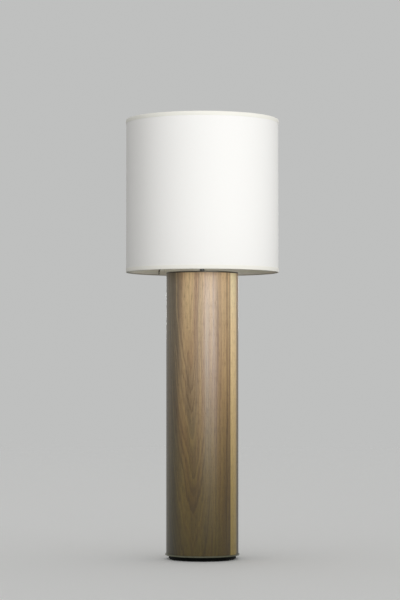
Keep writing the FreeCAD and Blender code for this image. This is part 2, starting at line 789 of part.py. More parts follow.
def add_key():
    """The turn key: a shaft out of the switch body and a fluted knob pressed on its end."""
    shaft = new_body("key_shaft")
    rod = draw_circle(new_sketch(shaft, "XZ_Plane"), "key_shaft", "0", "key_height")
    bind(rod, "AttachmentOffset.Base.z", "key_depth + slide_gap")
    pad(shaft, rod, "key_start + key_grip - key_depth - slide_gap")
    finish(shaft, "key_shaft", SADDLE_TOP)

    radius, length, flute = value("key_diameter / 2"), value("key_length"), value("key_flute")
    height, front = value("key_height"), FreeCAD.Vector(0, -1, 0)
    start = front * value("key_start") + FreeCAD.Vector(0, 0, height)
    knob = Part.makeCylinder(radius, length, start, front)
    knob = knob.cut(Part.makeCylinder(value("key_shaft / 2 + wire_gap"), value("key_grip"), start, front))
    for i in range(KEY_FLUTES):
        angle = 2 * math.pi * i / KEY_FLUTES
        spot = FreeCAD.Vector(math.cos(angle), 0, math.sin(angle)) * (radius + flute / 2)
        knob = knob.cut(Part.makeCylinder(flute, length, start + spot, front))
    computed("switch_key", [knob], SADDLE_TOP)


# ---------------------------------------------------------------- bulb


def add_bulb():
    """A pear bulb: a blown envelope on a screw cap, with the glass insulator and the tip below it."""
    cap = "bulb_cap_diameter / 2"
    turned("bulb_screw_cap", [
        (f"{cap} - bulb_cap_wall", BULB_CAP_BOTTOM), (cap, BULB_CAP_BOTTOM), (cap, BULB_CAP_TOP),
        (f"{cap} - bulb_cap_wall", BULB_CAP_TOP),
    ], SADDLE_TOP)
    turned("bulb_insulator", [
        ("0", CONE_BOTTOM), ("bulb_tip_diameter / 2", CONE_BOTTOM),
        (f"{cap} - bulb_cap_wall - wire_gap", BULB_CAP_BOTTOM),
        (f"{cap} - bulb_cap_wall - wire_gap", f"{BULB_CAP_BOTTOM} + bulb_glass"),
        ("0", f"{BULB_CAP_BOTTOM} + bulb_glass"),
    ], SADDLE_TOP)
    turned("bulb_tip", [
        ("0", TIP_BOTTOM), ("bulb_tip_diameter / 4", TIP_BOTTOM), ("bulb_tip_diameter / 2", CONE_BOTTOM),
        ("0", CONE_BOTTOM),
    ], SADDLE_TOP)

    crown = f"({TIP_BOTTOM} + bulb_length)"
    centre = f"({crown} - bulb_diameter / 2)"

    def side(inset, steps):
        """Half the envelope's outline from its foot to near its top, moved inwards by an inset."""
        ball, neck = f"(bulb_diameter / 2 - {inset})", f"(bulb_neck / 2 - {inset})"
        waist = f"(({ball} * {LEAN_ACROSS} - {neck}) / (1 - {LEAN_ACROSS}))"
        waist_centre = (f"{neck} + {waist}", f"{centre} - ({ball} + {waist}) * {LEAN_UP}")
        return [
            (neck, BULB_CAP_TOP),
            *arc_corners(waist_centre, waist, 180, 180 - BULB_LEAN, steps // 2),
            *arc_corners(("0", centre), ball, -BULB_LEAN, 90, steps)[1:-1],
        ]

    outside, inside = side("0", BULB_STEPS), side("bulb_glass", BULB_STEPS // 2)
    tops = [("0", crown), ("0", f"{crown} - bulb_glass")]
    turned("bulb_glass", outside + tops + inside[::-1], SADDLE_TOP)


# ---------------------------------------------------------------- shade


def add_shade_panel():
    """The drum: a laminated sheet rolled into a cylinder, its lapped seam doubled on the inside."""
    body = new_body("shade_panel")
    low, high = "tape_thickness + wire_gap", "shade_height - 2 * tape_thickness - 2 * wire_gap"
    outline = draw_circle(new_sketch(body, height=low), "shade_diameter")
    draw_circle(outline, "shade_diameter - 2 * shade_thickness")
    pad(body, outline, high)
    finish(body, "shade_panel", SHADE_BOTTOM)

    seam = new_body("shade_seam_lap")
    lap_radius = "(shade_diameter / 2 - shade_thickness - wire_gap)"
    lap = draw_circle(new_sketch(seam, height="tape_inner + seam_margin"), f"2 * {lap_radius}")
    draw_circle(lap, f"2 * ({lap_radius} - shade_thickness)")
    pad(seam, lap, "shade_height - 2 * (tape_inner + seam_margin)")
    rest = new_sketch(seam)
    draw_outline(rest, [
        ("0", "seam_lap / 2"), ("shade_diameter", "seam_lap / 2"), ("shade_diameter", "shade_diameter"),
        ("-shade_diameter", "shade_diameter"), ("-shade_diameter", "-shade_diameter"),
        ("shade_diameter", "-shade_diameter"), ("shade_diameter", "-seam_lap / 2"), ("0", "-seam_lap / 2"),
    ])
    pocket(seam, rest)
    finish(seam, "shade_seam_lap", SHADE_BOTTOM)
    bind(seam, "Placement.Rotation.Angle", "seam_bearing")


def shade_tape(label, fold, outer_edge, inner_edge, height):
    """The edge tape, folded over the panel and its ring. fold holds the heights of its two faces."""
    outer = "(shade_diameter / 2 + wire_gap)"
    inner = f"({RING_RADIUS} - ring_wire / 2 - wire_gap)"
    outer_face, inner_face = f"{outer} + tape_thickness", f"{inner} - tape_thickness"
    return turned(label, [
        (outer, outer_edge), (outer_face, outer_edge), (outer_face, fold[0]), (inner_face, fold[0]),
        (inner_face, inner_edge), (inner, inner_edge), (inner, fold[1]), (outer, fold[1]),
    ], height)


def add_shade_tapes():
    shade_tape("bottom_tape", ("0", "tape_thickness"), "tape_outer", "tape_inner", SHADE_BOTTOM)
    body = shade_tape("top_tape", ("0", "-tape_thickness"), "-tape_outer", "-tape_inner", SHADE_TOP)
    doc.recompute()
    notch = new_sketch(body, height="-tape_inner")
    bind(notch, "AttachmentOffset.Rotation.Angle", "arm_bearing")
    half = "(arm_wire / 2 + arm_room)"
    draw_rectangle(notch, f"{RING_RADIUS} - 2 * ring_wire", RING_RADIUS, f"-{half}", half)
    around(body, pocket(body, notch, "tape_inner - tape_thickness"), ARM_COUNT)


def add_shade_rings():
    """The wire rings that hold the drum round. The tape hides them, so each wire has flats."""
    half = f"(ring_wire / 2 / cos({180 / RING_FLATS}))"
    wire = arc_corners((RING_RADIUS, "0"), half, 180 / RING_FLATS, 360 + 180 / RING_FLATS, RING_FLATS)[:-1]
    inset = "(tape_thickness + wire_gap + ring_wire / 2)"
    turned("bottom_ring", wire, f"{SHADE_BOTTOM} + {inset}")
    turned("top_ring", wire, f"{SHADE_TOP} - {inset}")


def add_spider():
    """Three arms from the top ring down to the washer that sits on the harp."""
    washer = new_body("spider_washer")
    outline = draw_circle(new_sketch(washer), "spider_washer_diameter")
    draw_circle(outline, "spider_washer_bore")
    pad(washer, outline, "spider_washer_thickness")
    finish(washer, "spider_washer", HARP_SEAT)

    wire, hub = value("arm_wire"), value("spider_washer_diameter / 2")
    rim, ring_half = value(RING_RADIUS), value("ring_wire / 2")
    rise = value("shade_recess - tape_thickness - wire_gap - ring_wire / 2")
    spots = [
        FreeCAD.Vector(hub - wire, 0, wire / 2),
        FreeCAD.Vector(rim - value("arm_run_in"), 0, wire / 2),
        FreeCAD.Vector(rim, 0, rise),
    ]
    arm = bent_rod(spots, [value("arm_bend")], wire)
    arm = arm.cut(Part.makeCylinder(hub, 2 * wire, FreeCAD.Vector(0, 0, -wire / 2)))
    arm = arm.common(Part.makeCylinder(rim - ring_half, 2 * rise, FreeCAD.Vector(0, 0, -wire / 2)))
    turns = [value("arm_bearing") + i * 360 / ARM_COUNT for i in range(ARM_COUNT)]
    arms = [arm.copy().rotate(FreeCAD.Vector(), FreeCAD.Vector(0, 0, 1), turn) for turn in turns]
    computed("spider_arms", arms, HARP_SEAT)


def add_finial():
    """The brass finial that screws onto the harp's stud and holds the shade down."""
    ball, centre = "(finial_ball / 2)", "(finial_height - finial_ball / 2)"
    lean = math.degrees(math.acos(value("finial_waist") / value("finial_ball")))
    depth = "stud_height - spider_washer_thickness + slide_gap"
    bore = "(stud_diameter / 2 + wire_gap)"
    turned("finial", [
        (bore, "0"), ("finial_base / 2", "0"), ("finial_base / 2", "finial_rim"),
        *arc_corners(("0", centre), ball, -lean, 90, BALL_STEPS)[:-1],
        ("0", "finial_height"), ("0", depth), (bore, depth),
    ], WASHER_TOP)


# ---------------------------------------------------------------- build and export


def build():
    add_felt_pad()
    add_foot_disc()
    add_cord_bushing()
    add_base_plate()
    add_base_screws()
    add_tube()
    add_veneer()
    add_bulkheads()
    add_ballast()
    metal_disc("top_plate", "column_diameter", "top_plate_thickness", COLUMN_TOP)
    add_clamping_stack()
    add_harp_saddle()
    add_harp()
    add_harp_stud()
    add_harp_sleeves()
    add_socket_cap()
    add_socket_shell()
    add_socket_liner()
    add_switch_body()
    add_contacts()
    add_key()
    add_bulb()
    add_shade_panel()
    add_shade_tapes()
    add_shade_rings()
    add_spider()
    add_finial()
    doc.recompute()


def check():
    """Stops before anything is written if a feature failed or a sub-part isn't sound."""
    for item in doc.Objects:
        if "Invalid" in item.State or "Error" in item.State:
            raise RuntimeError(f"{item.Label} failed: {item.State}")
    for subpart in subparts:
        if subpart.Shape.isNull() or not subpart.Shape.isValid() or not subpart.Shape.Solids:
            raise RuntimeError(f"{subpart.Label} has no sound shape")


def export():
    os.makedirs("parts", exist_ok=True)
    for subpart in subparts:
        subpart.Shape.exportStep(f"parts/{subpart.Label}.step")
    print(f"{len(subparts)} sub-parts written")


build()
check()
export()
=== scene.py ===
import json
import math

import bmesh
import bpy
from mathutils import Matrix, Vector


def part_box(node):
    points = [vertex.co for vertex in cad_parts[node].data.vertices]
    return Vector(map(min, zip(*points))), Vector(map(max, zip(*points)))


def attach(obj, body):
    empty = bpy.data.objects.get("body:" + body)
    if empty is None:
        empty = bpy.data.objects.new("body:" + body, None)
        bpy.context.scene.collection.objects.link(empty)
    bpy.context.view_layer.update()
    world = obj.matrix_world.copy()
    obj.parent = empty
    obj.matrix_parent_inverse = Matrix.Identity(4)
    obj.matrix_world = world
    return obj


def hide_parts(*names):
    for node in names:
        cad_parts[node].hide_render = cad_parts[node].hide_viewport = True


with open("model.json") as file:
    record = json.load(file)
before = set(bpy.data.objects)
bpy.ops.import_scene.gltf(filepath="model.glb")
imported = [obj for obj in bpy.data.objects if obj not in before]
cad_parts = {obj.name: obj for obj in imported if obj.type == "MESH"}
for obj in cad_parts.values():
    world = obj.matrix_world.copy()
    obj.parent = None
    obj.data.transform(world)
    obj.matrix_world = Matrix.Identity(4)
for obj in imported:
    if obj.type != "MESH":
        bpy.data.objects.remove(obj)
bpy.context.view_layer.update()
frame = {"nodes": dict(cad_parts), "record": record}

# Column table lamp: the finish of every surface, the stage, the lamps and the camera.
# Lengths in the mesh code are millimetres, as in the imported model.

MM = 0.001

# Steps in a full turn for wide and for small pieces, and the angle from which an edge is shaded sharp.
ROUND_STEPS = 256
SMALL_STEPS = 96
SHARP_ANGLE = 32.0

# Bearings run anticlockwise from +X, seen from above, in degrees.
FRONT, BACK = -90.0, 90.0
SEAM_BEARING = 124.0
ARM_BEARINGS = (90.0, 210.0, 330.0)

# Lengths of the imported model.
PIPE_HOLE = 5.1
SADDLE_THICKNESS = 1.2
CLOTH_THICKNESS = 1.0
LAP_HALF_WIDTH = 7.0


def span(node):
    """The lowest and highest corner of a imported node, in millimetres."""
    low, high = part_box(node)
    return Vector(low) / MM, Vector(high) / MM


def reach(node):
    """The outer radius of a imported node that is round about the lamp's axis."""
    return span(node)[1].x


def levels(node):
    low, high = span(node)
    return low.z, high.z


# ---- mesh code


def evenly(start, stop, steps):
    """Numbers from start to stop, both among them, with even steps between them."""
    return [start + (stop - start) * i / steps for i in range(steps + 1)]


def full_turn(steps, *extra):
    """Even bearings of a full turn, with extra ones among them."""
    return sorted({round(bearing % 360, 4) for bearing in [*evenly(0.0, 360.0, steps), *extra]})


def apart(bearing, other):
    """The degrees between two bearings."""
    return abs((bearing - other + 180) % 360 - 180)


def arc(across, up, wide, tall, angles):
    """Points at angles in degrees on an ellipse about (across, up)."""
    turns = [math.radians(angle) for angle in angles]
    return [(across + wide * math.cos(turn), up + tall * math.sin(turn)) for turn in turns]


def to_edge(bearing, half_width, half_depth):
    """How far a rectangle about the axis reaches at a bearing."""
    angle = math.radians(bearing)
    return min(half_width / max(abs(math.cos(angle)), 1e-6), half_depth / max(abs(math.sin(angle)), 1e-6))


def softened(corners, steps=4):
    """An outline whose corners (across, up, rounding) are rounded. A corner (across, up) stays as it is."""
    points = []
    for i, (across, up, *rounding) in enumerate(corners):
        if not rounding:
            points.append((across, up))
            continue
        corner = Vector((across, up))
        before = Vector(corners[i - 1][:2]) - corner
        after = Vector(corners[(i + 1) % len(corners)][:2]) - corner
        half = before.angle(after) / 2
        tangent = min(rounding[0] / math.tan(half), before.length / 2.01, after.length / 2.01)
        start = corner + before.normalized() * tangent
        stop = corner + after.normalized() * tangent
        for t in evenly(0, 1, steps):
            points.append(tuple(start * (1 - t) ** 2 + corner * 2 * t * (1 - t) + stop * t ** 2))
    return points


def turned(outline, bearings, shape=None, sweep=False):
    """The mesh of an outline of (radius, height) turned about Z.

    bearings are degrees, or the number of steps in a full turn. An outline that touches the axis ends there,
    and any other is a loop. It may be a function that gives the outline at a bearing. shape(bearing, radius,
    height) changes a point's radius. With sweep the last bearing doesn't join the first, and both ends close.
    """
    if isinstance(bearings, int):
        bearings = evenly(0.0, 360.0, bearings)[:-1]
    verts, columns, poles = [], [], {}
    for bearing in bearings:
        angle, column = math.radians(bearing), []
        for i, (radius, height) in enumerate(outline(bearing) if callable(outline) else outline):
            if i in poles:
                column.append(poles[i])
                continue
            if radius == 0:
                poles[i] = len(verts)
            elif shape:
                radius = shape(bearing, radius, height)
            column.append(len(verts))
            verts.append((radius * math.cos(angle), radius * math.sin(angle), height))
        columns.append(column)
    faces, count = [], len(columns[0])
    pairs = list(zip(columns, columns[1:]))
    if not sweep:
        pairs.append((columns[-1], columns[0]))
    for here, there in pairs:
        for i in range(count - 1 if poles else count):
            j = (i + 1) % count
            loop = [here[i], there[i], there[j], here[j]]
            faces.append([v for k, v in enumerate(loop) if v not in loop[:k]])
    if sweep:
        faces += [columns[0][::-1], columns[-1]]
    return verts, faces


def bent(spots, radii, arc_steps=10):
    """Points along straight runs through spots, with an arc of the given radius at each inner spot."""
    points = [spots[0]]
    for before, corner, after, radius in zip(spots, spots[1:], spots[2:], radii):
        into, out = (before - corner).normalized(), (after - corner).normalized()
        half = into.angle(out) / 2
        centre = corner + (into + out).normalized() * (radius / math.sin(half))
        first = corner + into * (radius / math.tan(half)) - centre
        last = corner + out * (radius / math.tan(half)) - centre
        turn = first.rotation_difference(last)
        for angle in evenly(0.0, turn.angle, arc_steps):
            part = turn.copy()
            part.angle = angle
            points.append(centre + part @ first)
    points.append(spots[-1])
    return points


def swept(points, radius, sides=20, blunt=0.3):
    """The mesh of a round rod along points, with blunt ends."""
    start, stop = (points[1] - points[0]).normalized(), (points[-1] - points[-2]).normalized()
    path = [points[0], points[0] + start * blunt, *points[1:-1], points[-1] - stop * blunt, points[-1]]
    widths = [radius - blunt, *[radius] * (len(path) - 2), radius - blunt]
    along = [(b - a).normalized() for a, b in zip(path, path[1:])]
    along.append(along[-1])
    side = along[0].orthogonal().normalized()
    verts, faces = [], []
    for i, (point, width) in enumerate(zip(path, widths)):
        tangent = (along[max(i - 1, 0)] + along[i]).normalized()
        side = (side - tangent * side.dot(tangent)).normalized()
        other = tangent.cross(side)
        for across, up in arc(0, 0, width, width, evenly(0, 360, sides)[:-1]):
            verts.append(tuple(point + side * across + other * up))
    for i in range(len(path) - 1):
        for k in range(sides):
            n = (k + 1) % sides
            faces.append([i * sides + k, i * sides + n, (i + 1) * sides + n, (i + 1) * sides + k])
    faces.append(list(range(sides))[::-1])
    faces.append([(len(path) - 1) * sides + k for k in range(sides)])
    return verts, faces


def joined(*meshes):
    """Several meshes as one."""
    verts, faces = [], []
    for more, loops in meshes:
        first = len(verts)
        verts += more
        faces += [[first + v for v in loop] for loop in loops]
    return verts, faces


def moved(mesh, matrix):
    verts, faces = mesh
    return [tuple(matrix @ Vector(v)) for v in verts], faces


def block(low, high, bevel):
    """A box between two corners with rounded edges."""
    build = bmesh.new()
    bmesh.ops.create_cube(build, size=1.0)
    low, high = Vector(low), Vector(high)
    for vert in build.verts:
        vert.co = Vector(l + (c + 0.5) * (h - l) for l, c, h in zip(low, vert.co, high))
    bmesh.ops.bevel(build, geom=build.edges[:], offset=bevel, segments=3, profile=0.5, affect="EDGES")
    verts = [tuple(v.co) for v in build.verts]
    faces = [[v.index for v in face.verts] for face in build.faces]
    build.free()
    return verts, faces


def placed(name, data):
    made = bpy.data.objects.new(name, data)
    bpy.context.scene.collection.objects.link(made)
    return made


def piece(name, mesh, slot, node, body="stand", finish=None, sharp=SHARP_ANGLE):
    """A piece from a mesh in millimetres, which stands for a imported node."""
    verts, faces = mesh
    data = bpy.data.meshes.new(name)
    data.from_pydata([tuple(c * MM for c in v) for v in verts], [], faces)
    build = bmesh.new()
    build.from_mesh(data)
    bmesh.ops.delete(build, geom=[vert for vert in build.verts if not vert.link_faces], context="VERTS")
    bmesh.ops.recalc_face_normals(build, faces=build.faces)
    build.to_mesh(data)
    build.free()
    data.shade_smooth()
    data.set_sharp_from_angle(angle=math.radians(sharp))
    data.materials.append(finish or finishes[slot])
    made = placed(name, data)
    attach(made, body)
    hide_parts(node)
    return made


# ---- finishes


class Term:
    """A node's output, a number that varies over a surface. Sums of terms are more nodes."""

    def __init__(self, nodes, socket):
        self.nodes, self.socket = nodes, socket

    def __add__(self, other):
        return self.nodes.math("ADD", self, other)

    def __sub__(self, other):
        return self.nodes.math("SUBTRACT", self, other)

    def __rsub__(self, other):
        return self.nodes.math("SUBTRACT", other, self)

    def __mul__(self, other):
        return self.nodes.math("MULTIPLY", self, other)

    def __truediv__(self, other):
        return self.nodes.math("DIVIDE", self, other)

    def __abs__(self):
        return self.nodes.math("ABSOLUTE", self)


class Nodes:
    """A node tree, with a short call for each kind of node."""

    def __init__(self, tree):
        self.tree = tree

    def add(self, kind, **settings):
        node = self.tree.nodes.new(kind)
        for key, setting in settings.items():
            setattr(node, key, setting)
        return node

    def feed(self, socket, given):
        """Links a socket's source, or sets its number or colour."""
        if isinstance(given, Term):
            given = given.socket
        if isinstance(given, bpy.types.NodeSocket):
            self.tree.links.new(given, socket)
        elif socket.type == "RGBA":
            socket.default_value = (*given, 1.0)
        else:
            socket.default_value = given

    def feed_all(self, node, given):
        """Feeds the first sockets of a node, and gives its first output."""
        for socket, one in zip(node.inputs, given):
            self.feed(socket, one)
        return node.outputs[0]

    def math(self, operation, *given):
        return Term(self, self.feed_all(self.add("ShaderNodeMath", operation=operation), given))

    def split(self, vector):
        node = self.add("ShaderNodeSeparateXYZ")
        self.feed(node.inputs[0], vector)
        return [Term(self, output) for output in node.outputs]

    def spot(self, x, y, z=0.0):
        return self.feed_all(self.add("ShaderNodeCombineXYZ"), (x, y, z))

    def scaled(self, x, y=None, z=None):
        """The place on the object, in units of one length or of three, in millimetres."""
        node = self.add("ShaderNodeVectorMath", operation="MULTIPLY")
        lengths = (x, y or x, z or x)
        return self.feed_all(node, (self.place, tuple(1 / (length * MM) for length in lengths)))

    def across(self):
        """Millimetres from the lamp's axis."""
        x, y, _ = self.split(self.place)
        return self.math("SQRT", x * x + y * y) / MM

    def height(self):
        return self.split(self.place)[2] / MM

    def wrapped(self, radius, seam=BACK):
        """Millimetres around the axis, from opposite a seam at a bearing, and millimetres of height."""
        turn = self.add("ShaderNodeVectorRotate", rotation_type="Z_AXIS")
        self.feed(turn.inputs["Vector"], self.place)
        turn.inputs["Angle"].default_value = math.radians(BACK - seam)
        x, y, z = self.split(turn.outputs[0])
        return self.math("ARCTAN2", x, y * -1.0) * radius, z / MM

    def noise(self, vector, detail=2.0, roughness=0.5, distortion=0.0):
        """Noise from 0 to 1, one feature to each unit of the vector."""
        node = self.add("ShaderNodeTexNoise")
        self.feed(node.inputs["Vector"], vector)
        settings = {"Scale": 1.0, "Detail": detail, "Roughness": roughness, "Distortion": distortion}
        for name, number in settings.items():
            node.inputs[name].default_value = number
        return Term(self, node.outputs["Fac"])

    def fade(self, given, start, stop, low=0.0, high=1.0):
        """A smooth step of a number from start to stop, as low to high."""
        node = self.add("ShaderNodeMapRange", interpolation_type="SMOOTHSTEP")
        return Term(self, self.feed_all(node, (given, start, stop, low, high)))

    def band(self, across, centre, half, soft):
        """1 within half of a centre, fading to 0 over a soft edge."""
        return self.fade(abs(across - centre), half + soft, half)

    def mix(self, amount, a, b, kind="MIX"):
        node = self.add("ShaderNodeMix", data_type="RGBA", blend_type=kind)
        self.feed(node.inputs["Factor"], amount)
        self.feed(node.inputs[6], a)
        self.feed(node.inputs[7], b)
        return node.outputs[2]

    def ramp(self, given, *stops):
        """A colour ramp of (place, colour) stops."""
        node = self.add("ShaderNodeValToRGB")
        self.feed(node.inputs[0], given)
        elements = node.color_ramp.elements
        while len(elements) < len(stops):
            elements.new(0.5)
        for element, (place, colour) in zip(elements, stops):
            element.position = place
            element.color = (*colour, 1.0)
        return node.outputs[0]

    def seen_directly(self):
        """1 for rays from the camera, straight or by way of a mirror or glass, and 0 for others."""
        rays = self.add("ShaderNodeLightPath").outputs
        mirrored = self.math("MAXIMUM", rays["Is Camera Ray"], rays["Is Glossy Ray"])
        return self.math("MAXIMUM", mirrored, rays["Is Transmission Ray"])

    def bump(self, height, depth, strength=1.0):
        """Relief of a height from 0 to 1 and a depth in millimetres."""
        node = self.add("ShaderNodeBump")
        node.inputs["Strength"].default_value = strength
        node.inputs["Distance"].default_value = depth * MM
        self.feed(node.inputs["Height"], height)
        return node.outputs[0]


class Finish(Nodes):
    def __init__(self, name, roughness=0.5, **sockets):
        self.material = bpy.data.materials.new(name)
        self.material.use_nodes = True
        super().__init__(self.material.node_tree)
        self.place = self.add("ShaderNodeTexCoord").outputs["Object"]
        self.shader = next(n for n in self.tree.nodes if n.type == "BSDF_PRINCIPLED")
        self.shader.inputs["Roughness"].default_value = roughness
        for socket, number in sockets.items():
            self.shader.inputs[socket.replace("_", " ")].default_value = number

    def done(self, colour, roughness=None, normal=None):
        for name, given in (("Base Color", colour), ("Roughness", roughness), ("Normal", normal)):
            if given is not None:
                self.feed(self.shader.inputs[name], given)
        return self.material


def dimmed(colour, share):
    return tuple(share * c for c in colour)


def metal_finish(name, colour, dark, roughness, grain=(0.25, 0.25, 6.0)):
    """Metal with fine grain, a little tarnish and uneven polish."""
    f = Finish(name, Metallic=1.0)
    tarnish = f.fade(f.noise(f.scaled(9.0), 3.0, 0.6), 0.35, 0.75)
    lines = f.noise(f.scaled(*grain))
    worn = f.mix(lines * 0.25, f.mix(tarnish, colour, dark), dark)
    rough = tarnish * 0.1 + lines * 0.08 + (roughness - 0.06)
    return f.done(worn, rough, f.bump(lines, 0.008))


def turned_metal_finish(name, colour, dark, roughness):
    """Metal faced on a lathe, with fine rings about the lamp's axis."""
    f = Finish(name, Metallic=1.0)
    rings = f.noise(f.spot(f.across() * 3.0, f.height() * 5.0), 3.0, 0.6)
    smears = f.noise(f.scaled(14.0), 3.0, 0.55)
    shade = f.mix(f.fade(smears, 0.4, 0.8) * 0.5, colour, dark)
    rough = rings * 0.12 + smears * 0.1 + (roughness - 0.1)
    return f.done(f.mix(rings * 0.3, shade, dark), rough, f.bump(rings, 0.01))


def moulded_finish(name, colour, roughness, grit=0.35, **sockets):
    """Moulded or lacquered stock: a faint cloud in its colour and a fine grit."""
    f = Finish(name, **sockets)
    cloud = f.noise(f.scaled(11.0), 3.0)
    lighter = tuple(c * 1.5 + 0.004 for c in colour)
    tint = f.mix(f.fade(cloud, 0.3, 0.75), colour, lighter)
    return f.done(tint, cloud * 0.14 + (roughness - 0.07), f.bump(f.noise(f.scaled(grit)), 0.02, 0.5))


def board_finish(name, light, dark, layer):
    """Paper board or plywood, with loose fibres and layers of a thickness over its height."""
    f = Finish(name, roughness=0.85)
    waves = f.noise(f.scaled(30.0))
    layers = f.math("PINGPONG", f.height() + waves, layer)
    fibres = f.noise(f.scaled(0.6, 0.6, 3.0), 4.0, 0.65)
    tint = f.mix(f.fade(layers, 0.3 * layer, 0.7 * layer), light, dark)
    return f.done(f.mix(fibres * 0.6, tint, dark), None, f.bump(fibres, 0.06))


def felt_finish():
    f = Finish("felt", roughness=0.95, Sheen_Weight=0.12, Sheen_Roughness=0.6)
    fuzz = f.noise(f.scaled(0.9), 5.0, 0.75, 0.6)
    clumps = f.noise(f.scaled(5.0), 3.0)
    tint = f.mix(f.fade(fuzz, 0.3, 0.7), (0.006, 0.006, 0.007), (0.05, 0.05, 0.055))
    return f.done(f.mix(clumps * 0.5, tint, (0.02, 0.02, 0.022)), None, f.bump(fuzz, 0.5))


def cloth_finish():
    """Plain-woven cloth with thick and thin threads, and its smooth backing inside."""
    thread, slub = 0.55, 0.3
    backing = (0.92, 0.915, 0.83)
    f = Finish("shade_cloth", roughness=0.9)
    around, up = f.wrapped(reach("shade_panel"), SEAM_BEARING)
    middle = reach("shade_panel") - CLOTH_THICKNESS / 2
    inside = f.fade(f.across(), middle + 0.1, middle - 0.1)
    slub_length, slub_width = (7.0, 9.0), 1.6 * thread
    thick = f.noise(f.spot(around / slub_length[0], up / slub_width))
    thin = f.noise(f.spot(around / slub_width, up / slub_length[1], 3.0))
    warp, weft = (f.math("SINE", way * (math.pi / thread)) for way in (around, up))
    cross = warp * weft * 0.5 + 0.5
    slubs = (thick + thin) * slub
    tint = f.mix((slubs - slub) * 0.6 - cross * 0.35 + 0.35, (0.885, 0.88, 0.862), (0.80, 0.79, 0.76))
    smooth = f.mix(f.noise(f.scaled(25.0), 3.0), backing, dimmed(backing, 0.94))
    height = (cross * 0.7 + slubs) * (1.0 - inside * 0.9)
    return f.done(f.mix(inside, tint, smooth), None, f.bump(height, 0.09, 0.6))


# The dark line inside the drum beside the lap: millimetres from the lap's middle at the hem and above it, how
# far up it leans, its half width, and the heights between which it ends.
DARK_LINE_AT_HEM, DARK_LINE_ABOVE, DARK_LINE_LEAN, DARK_LINE_HALF_WIDTH = 8.6, 1.8, 15.0, 0.7
DARK_LINE_END = (34.0, 18.0)
SEAM_DARK = (0.035, 0.032, 0.022)


def on_backing(f):
    """Millimetres from the middle of the lap, along the drum's inner wall, and millimetres of height."""
    return f.wrapped(reach("shade_panel") - CLOTH_THICKNESS, SEAM_BEARING - 180.0)


def seam_dark_line(f):
    """Where the dark line shows inside the drum."""
    along, up = on_backing(f)
    above = up - (levels("bottom_tape")[0] + 2.0)
    lean = f.math("MINIMUM", above / DARK_LINE_LEAN, 1.0)
    middle = lean * (DARK_LINE_ABOVE - DARK_LINE_AT_HEM) + DARK_LINE_AT_HEM
    return f.band(along, middle, DARK_LINE_HALF_WIDTH, 0.8) * f.fade(above, -0.5, 1.0) * f.fade(above, *DARK_LINE_END)


def lap_finish():
    """The backing's end, glued inside the drum, darkened along its edges and crossed by the dark line."""
    light = (0.95, 0.945, 0.88)
    f = Finish("lap_backing", roughness=0.7)
    along, up = on_backing(f)
    tint = f.mix(f.noise(f.scaled(18.0), 3.0), light, dimmed(light, 0.94))
    # Darker along the lap's edges.
    tint = f.mix(f.fade(abs(along), LAP_HALF_WIDTH - 0.8, LAP_HALF_WIDTH - 0.1, 0.0, 0.5), tint, SEAM_DARK)
    ripple = f.noise(f.spot(along / 9.0, up / 22.0))
    return f.done(f.mix(seam_dark_line(f), tint, SEAM_DARK), None, f.bump(ripple, 0.2, 0.5))


def tape_finish():
    """Cream cotton tape with ribs across it, with painted shade inside the fold."""
    rib, thread = 0.9, 0.35
    f = Finish("cream_tape", roughness=0.88, Sheen_Weight=0.15)
    around, up = f.wrapped(reach("bottom_tape"), SEAM_BEARING)
    ribs = f.math("SINE", around * (2 * math.pi / rib)) * 0.5 + 0.5
    threads = f.noise(f.spot(around / rib, up / thread), 3.0)
    cloud = f.noise(f.spot(around / 40.0, up / 12.0))
    tint = f.mix(0.35 - ribs * 0.35, (0.878, 0.866, 0.81), (0.79, 0.775, 0.69))
    tint = f.mix(threads * 0.2, tint, (0.82, 0.80, 0.72))
    tint = f.mix(cloud * 0.18, tint, (0.78, 0.76, 0.67))
    low, high = levels("bottom_tape")[0], levels("top_tape")[1]
    edge = f.math("MINIMUM", up - low, high - up)
    inside = f.fade(f.across(), reach("bottom_ring") + 0.3, reach("bottom_ring") - 0.7)
    # Painted shade along the fold inside, near the drum's edges.
    tint = f.mix(inside * f.fade(edge, 2.6, 1.6, 0.0, 0.62), tint, (0.30, 0.30, 0.25))
    tint = f.mix(seam_dark_line(f) * inside, tint, SEAM_DARK)
    return f.done(tint, None, f.bump(ribs * 0.8 + threads * 0.3, 0.12, 0.7))


HEARTWOOD = (0.56, 0.385, 0.225)
GREY_BROWN = (0.50, 0.37, 0.24)
RED_BROWN = (0.50, 0.315, 0.185)
TAN = (0.78, 0.56, 0.30)
LATEWOOD = (0.20, 0.12, 0.065)
SIDE_BROWN = (0.18, 0.142, 0.085)
COLUMN_HEIGHT = 568.0

# Painted shade: the wood is lightest just under the shade and darkens towards the foot, as light falls on the
# column. Shares of the height, and what the heartwood's colours are multiplied by, or what colour the sapwood
# has there, painted shade included.
WOOD_PAINTED_SHADE = ((0.05, (0.25, 0.245, 0.07)), (0.25, (0.37, 0.345, 0.14)), (0.4, (0.50, 0.47, 0.28)),
              (0.55, (0.62, 0.57, 0.42)), (0.7, (0.74, 0.70, 0.61)), (0.85, (0.83, 0.82, 0.78)),
              (1.0, (1.0, 1.0, 1.0)))
SAPWOOD_WITH_PAINTED_SHADE = ((0.05, (0.48, 0.345, 0.085)), (0.25, (0.58, 0.41, 0.125)), (0.45, (0.75, 0.535, 0.215)),
                 (0.65, (0.88, 0.65, 0.32)), (0.82, (0.91, 0.68, 0.37)), (1.0, (0.97, 0.82, 0.50)))

# The strip of sapwood: where it starts, in millimetres round from the front, and its width.
SAP_EDGE, SAP_WIDTH = 63.7, 24.3

